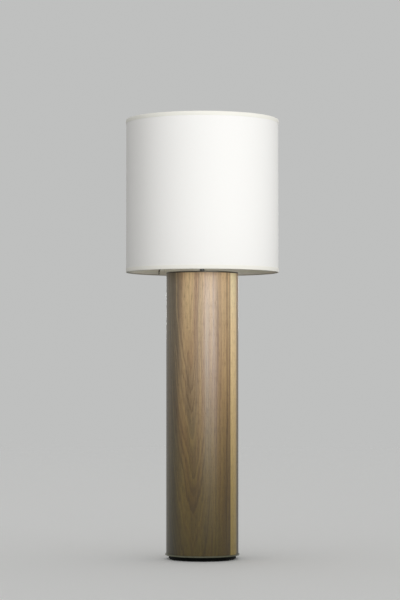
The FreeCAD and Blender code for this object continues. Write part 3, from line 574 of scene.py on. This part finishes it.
# The arched figure of the veneer, in millimetres around and up the column: its centre, a ring's climb for
# each millimetre of height, how blunt its point is, the rings' spacing, between which distances left and
# right of the centre the climb wears off, and the heights above which each flank runs straight.
FIGURE_CENTRE = -19.0
FIGURE_CLIMB = 0.22
FIGURE_TIP = 4.0
FIGURE_SPACING = 8.5
FIGURE_LEFT, FIGURE_RIGHT = (35.0, 95.0), (20.0, 50.0)
FIGURE_TOPS, FIGURE_BLEND = (470.0, 240.0), 110.0

# Straight stripes of the veneer, and painted shade down the column's left side and lower right side as seen
# from the front, which are the first two rows: centre and half width in millimetres round from the front,
# soft edge, colour, strength, and the heights at which each is absent and has its full strength.
WHOLE = (-2.0, -1.0)
STRIPES = (
    # Painted shade down the column's left side, and its lower right side, as seen from the front.
    (-88.0, 20.0, 34.0, SIDE_BROWN, 1.0, WHOLE),
    (112.0, 20.0, 14.0, SIDE_BROWN, 0.75, (570.0, 430.0)),
    (-34.0, 4.0, 12.0, TAN, 0.5, (330.0, 520.0)),
    (-25.0, 5.0, 4.0, TAN, 0.75, (380.0, 530.0)),
    (-11.0, 2.5, 3.0, RED_BROWN, 0.7, (330.0, 500.0)),
    (-12.0, 0.4, 1.2, LATEWOOD, 0.4, (430.0, 500.0)),
    (-2.0, 2.5, 3.5, TAN, 0.4, (300.0, 500.0)),
    (33.5, 0.8, 2.5, LATEWOOD, 0.25, (100.0, 400.0)),
    (46.0, 3.0, 4.0, TAN, 0.45, (60.0, 420.0)),
    (53.0, 0.8, 2.0, LATEWOOD, 0.3, WHOLE),
    (57.5, 2.0, 2.0, TAN, 0.55, (160.0, 420.0)),
    (61.0, 0.4, 1.2, LATEWOOD, 0.3, WHOLE),
    (150.0, 12.0, 12.0, TAN, 0.3, (-200.0, 400.0)),
    (-158.0, 9.0, 12.0, TAN, 0.3, (-200.0, 300.0)),
)


def walnut_finish():
    """Oiled walnut veneer: arched rings at the front left, straight stripes, pores and a strip of sapwood,
    with painted shade darkening it towards the foot and down its sides.
    """
    f = Finish("walnut_veneer", Specular_IOR_Level=0.72)
    around, up = f.wrapped(reach("walnut_veneer"))
    wander = f.noise(f.spot(around / 80.0, up / 260.0))
    across = around + (wander - 0.5) * 14.0

    # Rings: the distance from the figure's centre line, less a climb with height.
    away = across - FIGURE_CENTRE
    blunt = f.math("SQRT", away * away + FIGURE_TIP ** 2)
    right = f.fade(away, -6.0, 18.0)
    left_climb, right_climb = (f.math("SMOOTH_MIN", up, top, FIGURE_BLEND) for top in FIGURE_TOPS)
    climb = left_climb + right * (right_climb - left_climb)
    left_near = f.fade(away, -FIGURE_LEFT[1], -FIGURE_LEFT[0], 0.12, 1.0)
    right_near = f.fade(away, FIGURE_RIGHT[1], FIGURE_RIGHT[0], 0.1, 1.0)
    risen = climb * left_near * right_near * FIGURE_CLIMB
    ragged = f.noise(f.spot(around / 13.0, up / 120.0), 3.0, 0.6)
    rings = (blunt - risen) / FIGURE_SPACING + ragged * 1.6
    growth = f.math("FRACT", rings)
    late = f.fade(growth, 0.25, 0.88) * f.fade(growth, 1.0, 0.9)
    early = f.fade(growth, 0.0, 0.3) * f.fade(growth, 0.65, 0.3)
    strength = f.noise(f.spot(rings * 0.6, up / 380.0), 1.0)

    # Colour: broad bands that follow the rings, then fibres and stripes along the column.
    broad = f.noise(f.spot(rings * 0.28, up / 600.0, 5.0))
    tint = f.ramp(broad, (0.3, GREY_BROWN), (0.45, HEARTWOOD), (0.56, RED_BROWN), (0.72, TAN))
    zones = f.noise(f.spot(across / 16.0, up / 420.0, 8.0), 1.0)
    tint = f.mix(f.fade(zones, 0.5, 0.75, 0.0, 0.45), tint, TAN)
    tint = f.mix(f.fade(zones, 0.5, 0.25, 0.0, 0.35), tint, SIDE_BROWN)
    streaks = f.noise(f.spot(around / 5.0, up / 260.0, 2.0), 4.0)
    tint = f.mix(f.fade(streaks, 0.45, 0.75, 0.0, 0.3), tint, TAN)
    tint = f.mix(f.fade(streaks, 0.55, 0.25, 0.0, 0.3), tint, LATEWOOD)
    for centre, half, soft, colour, amount, (absent, full) in STRIPES:
        stripe = f.band(across if half > 2.0 else around, centre, half, soft)
        tint = f.mix(stripe * f.fade(up, absent, full, 0.0, amount), tint, colour)
    tint = f.mix(early * f.fade(strength, 0.55, 0.35, 0.0, 0.35), tint, TAN)
    tint = f.mix(late * f.fade(strength, 0.42, 0.7, 0.08, 0.62), tint, LATEWOOD)
    height = up / COLUMN_HEIGHT
    # Painted shade: the wood darkens towards the foot.
    tint = f.mix(1.0, tint, f.ramp(height, *WOOD_PAINTED_SHADE), "MULTIPLY")

    # Sapwood: a sharp border on its left, and a soft one on its right, towards which it dulls.
    sap_end = SAP_EDGE + SAP_WIDTH
    drift = (f.noise(f.spot(up / 70.0, 0.0)) - 0.5) * 3.0
    left = f.fade(around, SAP_EDGE - 0.5, SAP_EDGE + 0.5)
    far = f.fade(around + drift, sap_end + 3.0, sap_end - 4.0)
    # The sapwood's colour, with painted shade darkening it towards the foot.
    pale = f.ramp(height, *SAPWOOD_WITH_PAINTED_SHADE)
    dull = f.fade(streaks, 0.35, 0.7, 0.0, 0.25) + f.fade(around, SAP_EDGE + 7.0, sap_end, 0.0, 0.3)
    pale = f.mix(dull, pale, f.mix(1.0, pale, (0.62, 0.55, 0.45), "MULTIPLY"))
    tint = f.mix(left * far, tint, pale)

    # Pores: short dark dashes, in loose groups, among longer faint flecks.
    pores = f.noise(f.spot(around / 0.42, up / 7.0, 9.0), 1.0)
    groups = f.noise(f.spot(around / 5.0, up / 45.0, 4.0))
    pits = f.fade(pores, 0.57, 0.70) * f.fade(groups, 0.3, 0.6)
    flecks = f.noise(f.spot(around / 1.8, up / 19.0, 1.0))
    worn = pits * 0.45 + f.fade(flecks, 0.5, 0.66, 0.0, 0.34)
    tint = f.mix(worn, tint, f.mix(1.0, tint, (0.38, 0.33, 0.29), "MULTIPLY"))
    return f.done(tint, streaks * 0.12 + pits * 0.25 + 0.29, f.bump(streaks * 0.4 - pits, 0.04, 0.5))


def bulb_finish():
    """Soft white coated glass."""
    f = Finish("opal_glass", Coat_Weight=0.6, Coat_Roughness=0.12, Subsurface_Weight=0.25,
               Subsurface_Scale=0.01)
    powder = f.noise(f.scaled(1.1), 3.0)
    cloud = f.noise(f.scaled(14.0))
    tint = f.mix(powder * 0.3, (0.90, 0.90, 0.88), (0.82, 0.82, 0.79))
    return f.done(f.mix(cloud * 0.3, tint, (0.86, 0.86, 0.84)), powder * 0.08 + 0.22)


def painted_wire_finish():
    """White paint with a few chips."""
    f = Finish("white_wire")
    chips = f.fade(f.noise(f.scaled(1.6), 3.0), 0.66, 0.7)
    return f.done(f.mix(chips, (0.80, 0.80, 0.77), (0.35, 0.34, 0.32)), chips * 0.3 + 0.38)


BRASS, BRASS_DARK = (0.78, 0.56, 0.26), (0.52, 0.34, 0.13)

finishes = {
    "black_felt": felt_finish(),
    "black_wood": moulded_finish("black_lacquer", (0.003, 0.004, 0.003), 0.6, 0.8, Specular_IOR_Level=0.08),
    "black_plastic": moulded_finish("bushing_plastic", (0.014, 0.014, 0.015), 0.5),
    "polished_steel": turned_metal_finish("polished_steel", (0.20, 0.20, 0.145), (0.13, 0.13, 0.095), 0.3),
    "dark_metal": turned_metal_finish("bronzed_plate", (0.09, 0.08, 0.065), (0.045, 0.04, 0.033), 0.36),
    "zinc_steel": metal_finish("zinc_plate", (0.62, 0.63, 0.65), (0.40, 0.41, 0.43), 0.34),
    "tube_board": board_finish("tube_board", (0.36, 0.26, 0.16), (0.24, 0.16, 0.09), 8.0),
    "walnut": walnut_finish(),
    "plywood": board_finish("plywood", (0.58, 0.42, 0.25), (0.34, 0.22, 0.12), 1.5),
    "iron": moulded_finish("iron_primer", (0.014, 0.014, 0.014), 0.7, 0.9),
    "brass": metal_finish("brass", BRASS, BRASS_DARK, 0.24),
    "liner_board": board_finish("liner_board", (0.30, 0.19, 0.10), (0.20, 0.12, 0.06), 4.0),
    "phenolic": moulded_finish("phenolic", (0.016, 0.013, 0.011), 0.35),
    "knob_black": moulded_finish("knob_plastic", (0.008, 0.008, 0.008), 0.22, Coat_Weight=0.3),
    "frosted_glass": bulb_finish(),
    "cap_metal": metal_finish("cap_aluminium", (0.80, 0.80, 0.79), (0.60, 0.60, 0.58), 0.28),
    "black_glass": moulded_finish("cap_glass", (0.006, 0.006, 0.008), 0.15),
    "solder": metal_finish("solder", (0.60, 0.60, 0.61), (0.42, 0.42, 0.43), 0.42, (1.5, 1.5, 1.5)),
    "shade_fabric": cloth_finish(),
    "trim_tape": tape_finish(),
    "ring_metal": painted_wire_finish(),
}
brass_wire = metal_finish("brass_wire", BRASS, BRASS_DARK, 0.27, (2.5, 2.5, 2.5))


def dress_packed_nodes():
    """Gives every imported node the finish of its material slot."""
    slots = {row["node"]: row["material_slot"] for row in frame["record"]["subparts"]}
    for name, node in frame["nodes"].items():
        node.data.materials.clear()
        node.data.materials.append(finishes[slots[name]])


# ---- foot, plates and column


def add_foot():
    low, high = levels("felt_pad")
    outer = reach("felt_pad")
    outline = softened([(0, low), (outer, low, 0.35), (outer, high, 0.3), (0, high)])
    felt = piece("felt_under_foot", turned(outline, ROUND_STEPS), "black_felt", "felt_pad")


def add_bushing():
    """A block in the mouth of the foot's slot, with a collar round its bore."""
    low, high = span("cord_bushing")
    half_width, half_height, depth = (high.x - low.x) / 2, (high.z - low.z) / 2, high.y - low.y
    corner = math.degrees(math.atan2(half_height, half_width))
    bore, collar, edge, face = 2.4, 2.95, 10.0, depth - 0.15

    def outer(bearing, radius, height):
        if radius <= collar:
            return radius
        corner_cut = 0.35 if abs(corner - bearing % 90) < 2 else 0
        return to_edge(bearing, half_width, half_height) - corner_cut - (edge - radius)

    outline = [(bore, 0), (edge - 0.4, 0), (edge, 0.4), (edge, depth - 0.5), (edge - 0.4, face),
               (collar, face), (collar - 0.1, depth), (bore + 0.35, depth), (bore, depth - 0.5)]
    matrix = Matrix.Translation((0, low.y, (low.z + high.z) / 2)) @ Matrix.Rotation(-math.pi / 2, 4, "X")
    mesh = moved(turned(outline, 120, outer), matrix)
    piece("cord_inlet_bushing", mesh, "black_plastic", "cord_bushing")


def washer(inner, outer, low, high, inner_edge, outer_edge):
    """The outline of a flat ring with rounded edges."""
    return softened([(inner, low, inner_edge), (outer, low, outer_edge), (outer, high, outer_edge),
                     (inner, high, inner_edge)])


def add_plate(name, node, slot, edge):
    outline = washer(PIPE_HOLE, reach(node), *levels(node), 0.1, edge)
    piece(name, turned(outline, ROUND_STEPS), slot, node)


def add_veneer():
    """The veneer sheet, whose butt joint is open by a hair at the back."""
    low, high = levels("walnut_veneer")
    outer, inner, eased = reach("walnut_veneer"), reach("column_tube"), 0.25
    half_joint = math.degrees(0.15 / outer)
    rows = [(outer, height) for height in evenly(low, high, 12)[1:-1]]
    outline = softened([(inner, low), (outer, low, eased), *rows, (outer, high, eased), (inner, high)])
    bearings = evenly(BACK + half_joint, BACK + 360 - half_joint, ROUND_STEPS)
    piece("veneer_sheet", turned(outline, bearings, sweep=True), "walnut", "walnut_veneer")


# ---- pipe and nuts

THREAD_PITCH = 0.95


def thread(low, high, depth, least):
    """A shape for turned() that cuts a thread between two heights, beyond the least radius."""
    def shape(bearing, radius, height):
        if not low < height < high or radius < least:
            return radius
        phase = (height / THREAD_PITCH - bearing / 360) % 1
        run_out = min((height - low) / THREAD_PITCH, (high - height) / THREAD_PITCH, 1)
        return radius - depth * run_out * (1 - abs(2 * phase - 1))
    return shape


def add_pipe():
    low, high = levels("threaded_pipe")
    outer, bore, eased = reach("threaded_pipe"), 3.4, 0.4
    start, stop = levels("top_plate")[1] - 1, levels("harp_saddle")[0] + 4
    step = THREAD_PITCH / 8
    rows = [(outer, start + step * i) for i in range(int((stop - start) / step))]
    outline = softened([(bore, low), (outer, low, eased), *rows, (outer, high, eased), (bore, high)], 3)
    mesh = turned(outline, 48, thread(start, stop, 0.55, bore + 0.5))
    piece("lamp_pipe", mesh, "zinc_steel", "threaded_pipe", sharp=60.0)


def add_nut(node):
    """A hexagon nut whose corners are turned off at both faces."""
    low, high = span(node)
    flats, corner, bore = high.y, high.x, reach("threaded_pipe") + 0.05
    flat_face, lean, eased = corner - 0.75, 0.35, 0.4

    def hexagon(bearing, radius, height):
        if radius < flat_face - 0.1:
            return radius
        off = math.radians((bearing - 90) % 60)
        return min(flats / math.cos(min(off, math.radians(60) - off)), radius)

    outline = [(bore, low.z + eased), (bore + eased, low.z), (flat_face, low.z), (corner, low.z + lean),
               (corner, high.z - lean), (flat_face, high.z), (bore + eased, high.z), (bore, high.z - eased)]
    piece("hex_" + node, turned(outline, 144, hexagon), "zinc_steel", node, sharp=20.0)


# ---- harp

# The harp's bends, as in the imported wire: width, height above the saddle and radius.
HARP_BENDS = ((56.4, 42.0, 25.0), (112.0, 96.0, 70.0), (104.0, 205.0, 70.0), (62.0, 260.0, 28.0))
HARP_WIRE = 3.2


def add_harp():
    foot = levels("harp_wire")[0]
    seat = levels("harp_saddle")[0] + SADDLE_THICKNESS
    right = [Vector((HARP_BENDS[0][0] / 2, 0, foot))]
    right += [Vector((width / 2, 0, seat + height)) for width, height, _ in HARP_BENDS]
    left = [Vector((-spot.x, 0, spot.z)) for spot in reversed(right)]
    radii = [radius for _, _, radius in HARP_BENDS]
    path = bent(right + left, radii + radii[::-1], 14)
    piece("harp_loop", swept(path, HARP_WIRE / 2, 24), "brass", "harp_wire", finish=brass_wire)


def add_saddle():
    """The strip with its round hub and an ear turned up at each end."""
    low, high = span("harp_saddle")
    top, end, edge, eased = low.z + SADDLE_THICKNESS, high.x, 20.0, 0.2
    half_width, hub, half_ear = 4.5, 10.0, 2.25
    tip = math.degrees(math.atan2(half_width, end))
    neck = math.degrees(math.asin(half_width / hub))
    marks = [side + sign * mark for side in (0, 180) for sign in (1, -1) for mark in (tip, neck)]

    def outer(bearing, radius, height):
        if radius < hub:
            return radius
        return max(hub, to_edge(bearing, end, half_width)) - (edge - radius)

    outline = [(PIPE_HOLE, low.z), (edge - eased, low.z), (edge, low.z + eased), (edge, top - eased),
               (edge - eased, top), (PIPE_HOLE, top)]
    strip = turned(outline, full_turn(180, *marks), outer)
    ears = [block((near, -half_ear, low.z + 0.3), (far, half_ear, high.z), 0.35)
            for near, far in ((end - SADDLE_THICKNESS, end), (-end, SADDLE_THICKNESS - end))]
    piece("harp_saddle_strip", joined(strip, *ears), "brass", "harp_saddle")


def add_sleeve(body):
    """A sleeve on a leg of the harp, with a raised rim at both ends."""
    low, high = span("harp_" + body)
    centre, rim = (low.x + high.x) / 2, (high.x - low.x) / 2
    bore, waist = rim - 0.8, rim - 0.3
    outline = softened([
        (bore, low.z, 0.2), (rim, low.z, 0.3), (rim, low.z + 1.6), (waist, low.z + 2.0),
        (waist, high.z - 2.0), (rim, high.z - 1.6), (rim, high.z, 0.3), (bore, high.z, 0.2),
    ])
    mesh = moved(turned(outline, 64), Matrix.Translation((centre, 0, 0)))
    piece(body + "_ferrule", mesh, "brass", "harp_" + body, body)


def add_stud():
    """The block on the harp's crown, the seat for the shade and the threaded stud."""
    low, high = span("harp_stud")
    seat, flange, top = levels("spider_washer")[0], high.x, high.z
    stud, under, step = 3.05, seat - 1.6, 0.12
    cheeks = block((-4.5, -4, low.z), (4.5, 4, under + 0.1), 0.6)
    rows = [(stud, seat + step * i) for i in range(1, int((top - seat - 0.8) / step))]
    outline = softened([(0, under), (flange, under, 0.4), (flange, seat, 0.4), (stud, seat, 0.2), *rows,
                        (stud, top - 0.5), (stud - 0.5, top), (0, top)], 3)
    mesh = joined(cheeks, turned(outline, 72, thread(seat + 0.5, top - 0.5, 0.35, stud - 0.1)))
    piece("shade_seat_stud", mesh, "brass", "harp_stud")


def add_finial():
    """A ball on a waisted base, bored from below."""
    low, high = levels("finial")
    base, waist, ball, bore = reach("finial"), 3.6, 6.0, 3.1
    start = -math.degrees(math.acos((waist + 0.4) / ball))
    globe = arc(0, high - ball, ball, ball, evenly(start, 90, 24)[:-1])
    outline = softened([
        (0, high - 3.0), (bore, high - 4.2), (bore, low, 0.2), (base, low, 0.25), (base, low + 1.1, 0.5),
        (base - 1.4, low + 1.7, 0.4), (waist + 0.7, low + 2.1, 0.4), (waist, low + 2.9, 0.4), *globe,
        (0, high),
    ])
    piece("ball_finial", turned(outline, SMALL_STEPS), "brass", "finial")


# ---- socket and bulb


def add_socket_cap():
    """A cup that widens from a boss on the pipe to the socket's shell."""
    low, high = levels("socket_cap")
    outer, wall, boss, bore = reach("socket_cap"), 0.8, 7.5, 4.95
    inside = low + 5 + wall
    outline = softened([
        (bore, low, 0.2), (boss, low, 0.5), (boss, low + 5, 1.6), (outer, low + 12, 3.0),
        (outer, high, 0.3), (outer - wall, high, 0.3), (outer - wall, low + 12 + wall, 2.2),
        (boss, inside, 0.8), (bore, inside, 0.2),
    ], 6)
    piece("socket_cup", turned(outline, SMALL_STEPS), "brass", "socket_cap")


def thin_wall(name, rows, slot_top, thickness, slot, node):
    """A thin round wall from rows of (radius, height), with a slot for the key, open at the bottom."""
    edge = math.degrees(3.0 / rows[0][0])
    wall, slot_middle = evenly(FRONT + edge, FRONT + 360 - edge, SMALL_STEPS), evenly(-edge / 2, edge / 2, 2)
    bearings = sorted({round(bearing % 360, 4) for bearing in [*wall, *(FRONT + off for off in slot_middle)]})
    verts, faces = turned(rows, bearings)

    def kept(face):
        """Whether a face joins neighbouring rows and lies outside the slot."""
        heights = [v % len(rows) for v in face]
        in_slot = any(apart(bearings[v // len(rows)], FRONT) < edge - 0.01 for v in face)
        return max(heights) - min(heights) == 1 and not (in_slot and rows[max(heights)][1] <= slot_top)

    made = piece(name, (verts, [face for face in faces if kept(face)]), slot, node)
    solidify = made.modifiers.new("thickness", "SOLIDIFY")
    solidify.thickness = thickness * MM
    solidify.offset = -1.0


def add_socket_shell():
    """The brass shell, and the board that lines it."""
    low, high = levels("socket_shell")
    seat = levels("harp_saddle")[0] + SADDLE_THICKNESS
    radius, bead, slot_top, ring = 16.8, 0.7, seat + 27.0, seat + 32.0
    rows = [(radius, low), (radius, slot_top), (radius, ring - 1.3),
            *arc(radius, ring, bead, 1.2, range(-75, 76, 25)), (radius, ring + 1.3), (radius, high - 2.4),
            *arc(radius, high - 1.1, bead, 1.1, range(-75, 91, 33)), (radius - 0.3, high)]
    thin_wall("socket_sleeve", rows, slot_top, 0.6, "brass", "socket_shell")
    low, high = levels("socket_liner")
    rows = [(16.15, height) for height in (low, slot_top, high)]
    thin_wall("insulating_liner", rows, slot_top, 0.7, "liner_board", "socket_liner")


def add_key():
    """The fluted knob with a domed end."""
    low, high = span("switch_key")
    length, flutes, flute, bore, rim, base = high.y - low.y, 12, 0.75, 2.05, 6.0, 5.7

    def fluted(bearing, radius, along):
        if radius < 4.5 or not 1.2 <= along < length - 0.9:
            return radius
        phase = abs((bearing * flutes / 360) % 1 - 0.5) * 2
        return radius - flute * (1 - min(1, phase * 1.6) ** 2)

    outline = [(0, 8.0), (bore, 8.0), *softened([
        (bore, 0, 0.2), (base, 0, 0.3), (base, 1.2), (rim, 1.3, 0.2), (rim, length - 1.4),
        (rim - 0.5, length - 0.7, 0.5), (4.0, length - 0.35, 1.0), (0, length),
    ], 5)]
    matrix = Matrix.Translation((0, high.y, (low.z + high.z) / 2)) @ Matrix.Rotation(math.pi / 2, 4, "X")
    piece("turn_key", moved(turned(outline, 144, fluted), matrix), "knob_black", "switch_key", "switch")


def add_bulb():
    """A pear bulb on a screw cap with a rolled thread."""
    low, high = levels("bulb_glass")
    ball, neck, lean = 30.0, 13.5, 38.0
    sine, cosine = math.sin(math.radians(lean)), math.cos(math.radians(lean))
    hollow = (ball * cosine - neck) / (1 - cosine)
    centre = high - ball
    flank = arc(neck + hollow, centre - (ball + hollow) * sine, hollow, hollow, evenly(180, 180 - lean, 18))
    globe = arc(0, centre, ball, ball, evenly(-lean, 90, 36)[1:-1])
    mesh = turned([(0, low), (neck, low), *flank, *globe, (0, high)], 128)
    piece("bulb_envelope", mesh, "frosted_glass", "bulb_glass")

    low, high = levels("bulb_screw_cap")
    crest, pitch, half_depth = reach("bulb_screw_cap"), 3.6, 0.5

    def rolled(bearing, radius, height):
        if radius < crest - 0.1 or height > high - 2.4:
            return radius
        return radius - half_depth + half_depth * math.sin(2 * math.pi * (height / pitch - bearing / 360))

    rows = [(crest, height) for height in evenly(low, high, 60)]
    mesh = turned([(crest - 1.0, low), *rows, (crest - 1.0, high)], 72, rolled)
    piece("bulb_thread_cap", mesh, "cap_metal", "bulb_screw_cap", sharp=70.0)


# ---- shade


def add_shade():
    low, high = levels("shade_panel")
    outer, lap, lap_run = reach("shade_panel"), 0.3, 12
    inner = outer - CLOTH_THICKNESS

    def lapped(bearing, radius, height):
        """The cloth's outer end lies over its start."""
        past = math.radians((bearing - SEAM_BEARING) % 360) * outer
        if radius < outer - CLOTH_THICKNESS / 2 or past >= lap_run:
            return radius
        return radius + lap * (1 - past / lap_run)

    step = 360.0 / ROUND_STEPS
    near_seam = [SEAM_BEARING + off for off in (-0.02, 0, step / 2, step)]
    rows = [(outer, height) for height in evenly(low, high, 16)[1:-1]]
    back = [(inner, height) for height in evenly(high, low, 4)[1:-1]]
    outline = softened([(inner, low), (outer, low, 0.2), *rows, (outer, high, 0.2), (inner, high), *back])
    mesh = turned(outline, full_turn(ROUND_STEPS, *near_seam), lapped)
    cloth = piece("shade_drum", mesh, "shade_fabric", "shade_panel", "shade")

    low, high = levels("shade_seam_lap")
    glued = inner - 0.05
    half = math.degrees(LAP_HALF_WIDTH / glued)
    outline = softened([(glued - 1.0, low, 0.3), (glued, low), (glued, high), (glued - 1.0, high, 0.3)])
    mesh = turned(outline, evenly(SEAM_BEARING - half, SEAM_BEARING + half, 12), sweep=True)
    seam = piece("inside_lap", mesh, "shade_fabric", "shade_seam_lap", "shade", lap_finish())

    tapes = [add_tape("lower_trim", "bottom_tape", 1), add_tape("upper_trim", "top_tape", -1)]


def add_tape(name, node, rise):
    """Tape folded over the drum's lower edge, where rise is 1, or its upper one, notched for the arms."""
    low, high = levels(node)
    outer, inner, thick, skirt, flap, short_flap = reach(node), 148.5, 0.4, 8.0, 5.0, 1.1
    edge = low if rise > 0 else high
    half_notch = math.degrees(3.0 / inner)
    arms = ARM_BEARINGS if rise < 0 else ()

    def folded(bearing):
        notched = any(apart(bearing, arm) < half_notch + 0.02 for arm in arms)
        skirt_end, fold = edge + rise * skirt, edge + rise * thick
        flap_end = edge + rise * (short_flap if notched else flap)
        return softened([
            (outer - thick, skirt_end, 0.12), (outer, skirt_end, 0.12), (outer, edge, 1.3),
            (inner, edge, 1.3), (inner, flap_end, 0.12), (inner + thick, flap_end, 0.12),
            (inner + thick, fold, 0.9), (outer - thick, fold, 0.5),
        ], 5)

    def end_lap(bearing, radius, height):
        """The skirt's end lies over its start."""
        past = math.radians((bearing - SEAM_BEARING - 4) % 360) * outer
        return radius + (0.35 if radius > (inner + outer) / 2 and past < 15 else 0)

    notch_sides = [arm + side * (half_notch + off) for arm in arms for side in (-1, 1) for off in (0, 0.05)]
    bearings = full_turn(ROUND_STEPS, SEAM_BEARING + 3.99, SEAM_BEARING + 4.01, *notch_sides)
    return piece(name, turned(folded, bearings, end_lap), "trim_tape", node, "shade")


def add_rings():
    for name, node in (("lower_ring_wire", "bottom_ring"), ("upper_ring_wire", "top_ring")):
        low, high = levels(node)
        half = (high - low) / 2
        outline = arc(reach(node) - half, low + half, half, half, range(0, 360, 30))
        piece(name, turned(outline, ROUND_STEPS), "ring_metal", node, "shade")


def add_spider():
    """Three arms welded to the top ring and to the washer on the harp."""
    seat, top = levels("spider_washer")
    radius, bore, hub, rim = 1.5, 4.2, reach("spider_washer"), reach("top_ring") - 1.25
    ring = sum(levels("top_ring")) / 2
    bends = ((hub - 2.0, seat + radius), (rim - 20, seat + radius), (rim - 0.8, ring - 0.5))
    # Each weld bead: distance from the axis, length, height and half width.
    beads = ((hub - 0.2, 3.6, seat + radius, 2.1), (rim - 1.2, 2.2, ring - 0.4, 1.7))
    meshes = []
    for bearing in ARM_BEARINGS:
        turn = Matrix.Rotation(math.radians(bearing), 4, "Z")
        spots = [turn @ Vector((across, 0, height)) for across, height in bends]
        meshes.append(swept(bent(spots, [12.0]), radius))
        for across, length, height, wide in beads:
            half = length / 2
            outline = [(0, -half), *arc(0, 0, wide, half, evenly(-90, 90, 8)[1:-1]), (0, half)]
            place = turn @ Matrix.Translation((across, 0, height)) @ Matrix.Rotation(math.pi / 2, 4, "Y")
            meshes.append(moved(turned(outline, 20), place))
    piece("spider_wires", joined(*meshes), "brass", "spider_arms", "shade", brass_wire)
    mesh = turned(washer(bore, hub, seat, top, 0.2, 0.35), SMALL_STEPS)
    piece("spider_centre", mesh, "brass", "spider_washer", "shade")


# ---- stage, lamps and camera, in metres

FLOOR_SEEN, FLOOR_GRAIN, FLOOR_LIGHT = (0.90, 0.905, 0.90), (0.86, 0.865, 0.86), (0.22, 0.22, 0.215)
BACKDROP_SEEN, BACKDROP_LIGHT = (0.52, 0.525, 0.52), (0.60, 0.60, 0.595)
FLOOR_RINGS, FADE_START, FADE_STOP = (0, 0.5, 1.0, 2.0, 4.0, 8.0, 14.0), 1.5, 8.0


def add_floor():
    """A pale floor that fades into the backdrop and throws little light back."""
    verts, faces = turned([(radius, 0) for radius in FLOOR_RINGS], evenly(360.0, 0.0, SMALL_STEPS)[:-1])
    data = bpy.data.meshes.new("floor")
    data.from_pydata(verts, [], faces)
    f = Finish("floor_paper", roughness=0.85)
    grain = f.noise(f.scaled(3.0), 4.0, 0.6)
    pale = f.mix(grain, FLOOR_SEEN, FLOOR_GRAIN)
    f.done(f.mix(f.seen_directly(), FLOOR_LIGHT, pale), None, f.bump(grain, 0.1, 0.3))
    distance = f.add("ShaderNodeVectorMath", operation="LENGTH")
    f.feed(distance.inputs[0], f.place)
    faded = f.fade(distance.outputs["Value"], FADE_START, FADE_STOP)
    clear = f.add("ShaderNodeBsdfTransparent")
    blend = f.feed_all(f.add("ShaderNodeMixShader"), (faded, f.shader.outputs[0], clear.outputs[0]))
    output = next(n for n in f.tree.nodes if n.type == "OUTPUT_MATERIAL")
    f.feed(output.inputs["Surface"], blend)
    data.materials.append(f.material)
    floor = placed("floor", data)


def add_backdrop():
    """A plain pale surround that lights the object softly from every side."""
    world = bpy.data.worlds.new("surround")
    bpy.context.scene.world = world
    world.use_nodes = True
    f = Nodes(world.node_tree)
    background = next(n for n in f.tree.nodes if n.type == "BACKGROUND")
    f.feed(background.inputs["Color"], f.mix(f.seen_directly(), BACKDROP_LIGHT, BACKDROP_SEEN))


LAMP_DISTANCE = 2.2


def add_lamp(name, bearing, height, size, spread, power):
    """A gridded softbox that shines level, from degrees to the right of the front."""
    turn = math.radians(bearing)
    out = Vector((math.sin(turn), -math.cos(turn), 0))
    data = bpy.data.lights.new(name, "AREA")
    data.shape = "RECTANGLE"
    data.size, data.size_y = size
    data.spread = math.radians(spread)
    data.energy = power
    lamp = placed(name, data)
    lamp.location = out * LAMP_DISTANCE + Vector((0, 0, height))
    lamp.rotation_mode = "QUATERNION"
    lamp.rotation_quaternion = (-out).to_track_quat("-Z", "Y")
    lamp.visible_camera = False


# The camera, read off the ellipses of the shade's rims and the base. Pixels are those of the picture.
CAMERA_DISTANCE, CAMERA_HEIGHT = 4.056, 0.3725
FOCAL_PIXELS, PICTURE_HEIGHT, SENSOR = 2028.0, 600.0, 36.0
HORIZON_BELOW_MIDDLE, AXIS_RIGHT_OF_MIDDLE = 71.6, 2.3


def add_camera():
    data = bpy.data.cameras.new("camera")
    data.sensor_width = SENSOR
    data.lens = FOCAL_PIXELS / PICTURE_HEIGHT * SENSOR
    camera = placed("camera", data)
    camera.location = (0, -CAMERA_DISTANCE, CAMERA_HEIGHT)
    pitch = math.atan2(HORIZON_BELOW_MIDDLE, FOCAL_PIXELS)
    yaw = math.atan2(AXIS_RIGHT_OF_MIDDLE, FOCAL_PIXELS)
    camera.rotation_euler = (math.pi / 2 + pitch, 0, yaw)
    bpy.context.scene.camera = camera


# ---- build

dress_packed_nodes()
add_foot()
add_bushing()
add_plate("base_disc", "base_plate", "polished_steel", 0.6)
add_plate("column_cap_disc", "top_plate", "dark_metal", 0.5)
add_veneer()
add_pipe()
for nut in ("foot_nut", "ballast_nut", "deck_nut", "saddle_nut"):
    add_nut(nut)
add_harp()
add_saddle()
add_sleeve("sleeve_left")
add_sleeve("sleeve_right")
add_stud()
add_finial()
add_socket_cap()
add_socket_shell()
add_key()
add_bulb()
add_shade()
add_rings()
add_spider()
add_floor()
add_backdrop()
add_lamp("key_lamp", 37.0, 0.92, (0.9, 1.2), 24.0, 1.08)
add_lamp("near_key_lamp", 14.0, 0.92, (0.9, 1.2), 24.0, 1.14)
add_lamp("left_lamp", -14.0, 0.90, (1.2, 1.2), 30.0, 0.3)
add_lamp("back_lamp", 180.0, 1.0, (1.2, 1.0), 24.0, 2.3)
add_camera()
bpy.context.scene.view_settings.view_transform = "Standard"
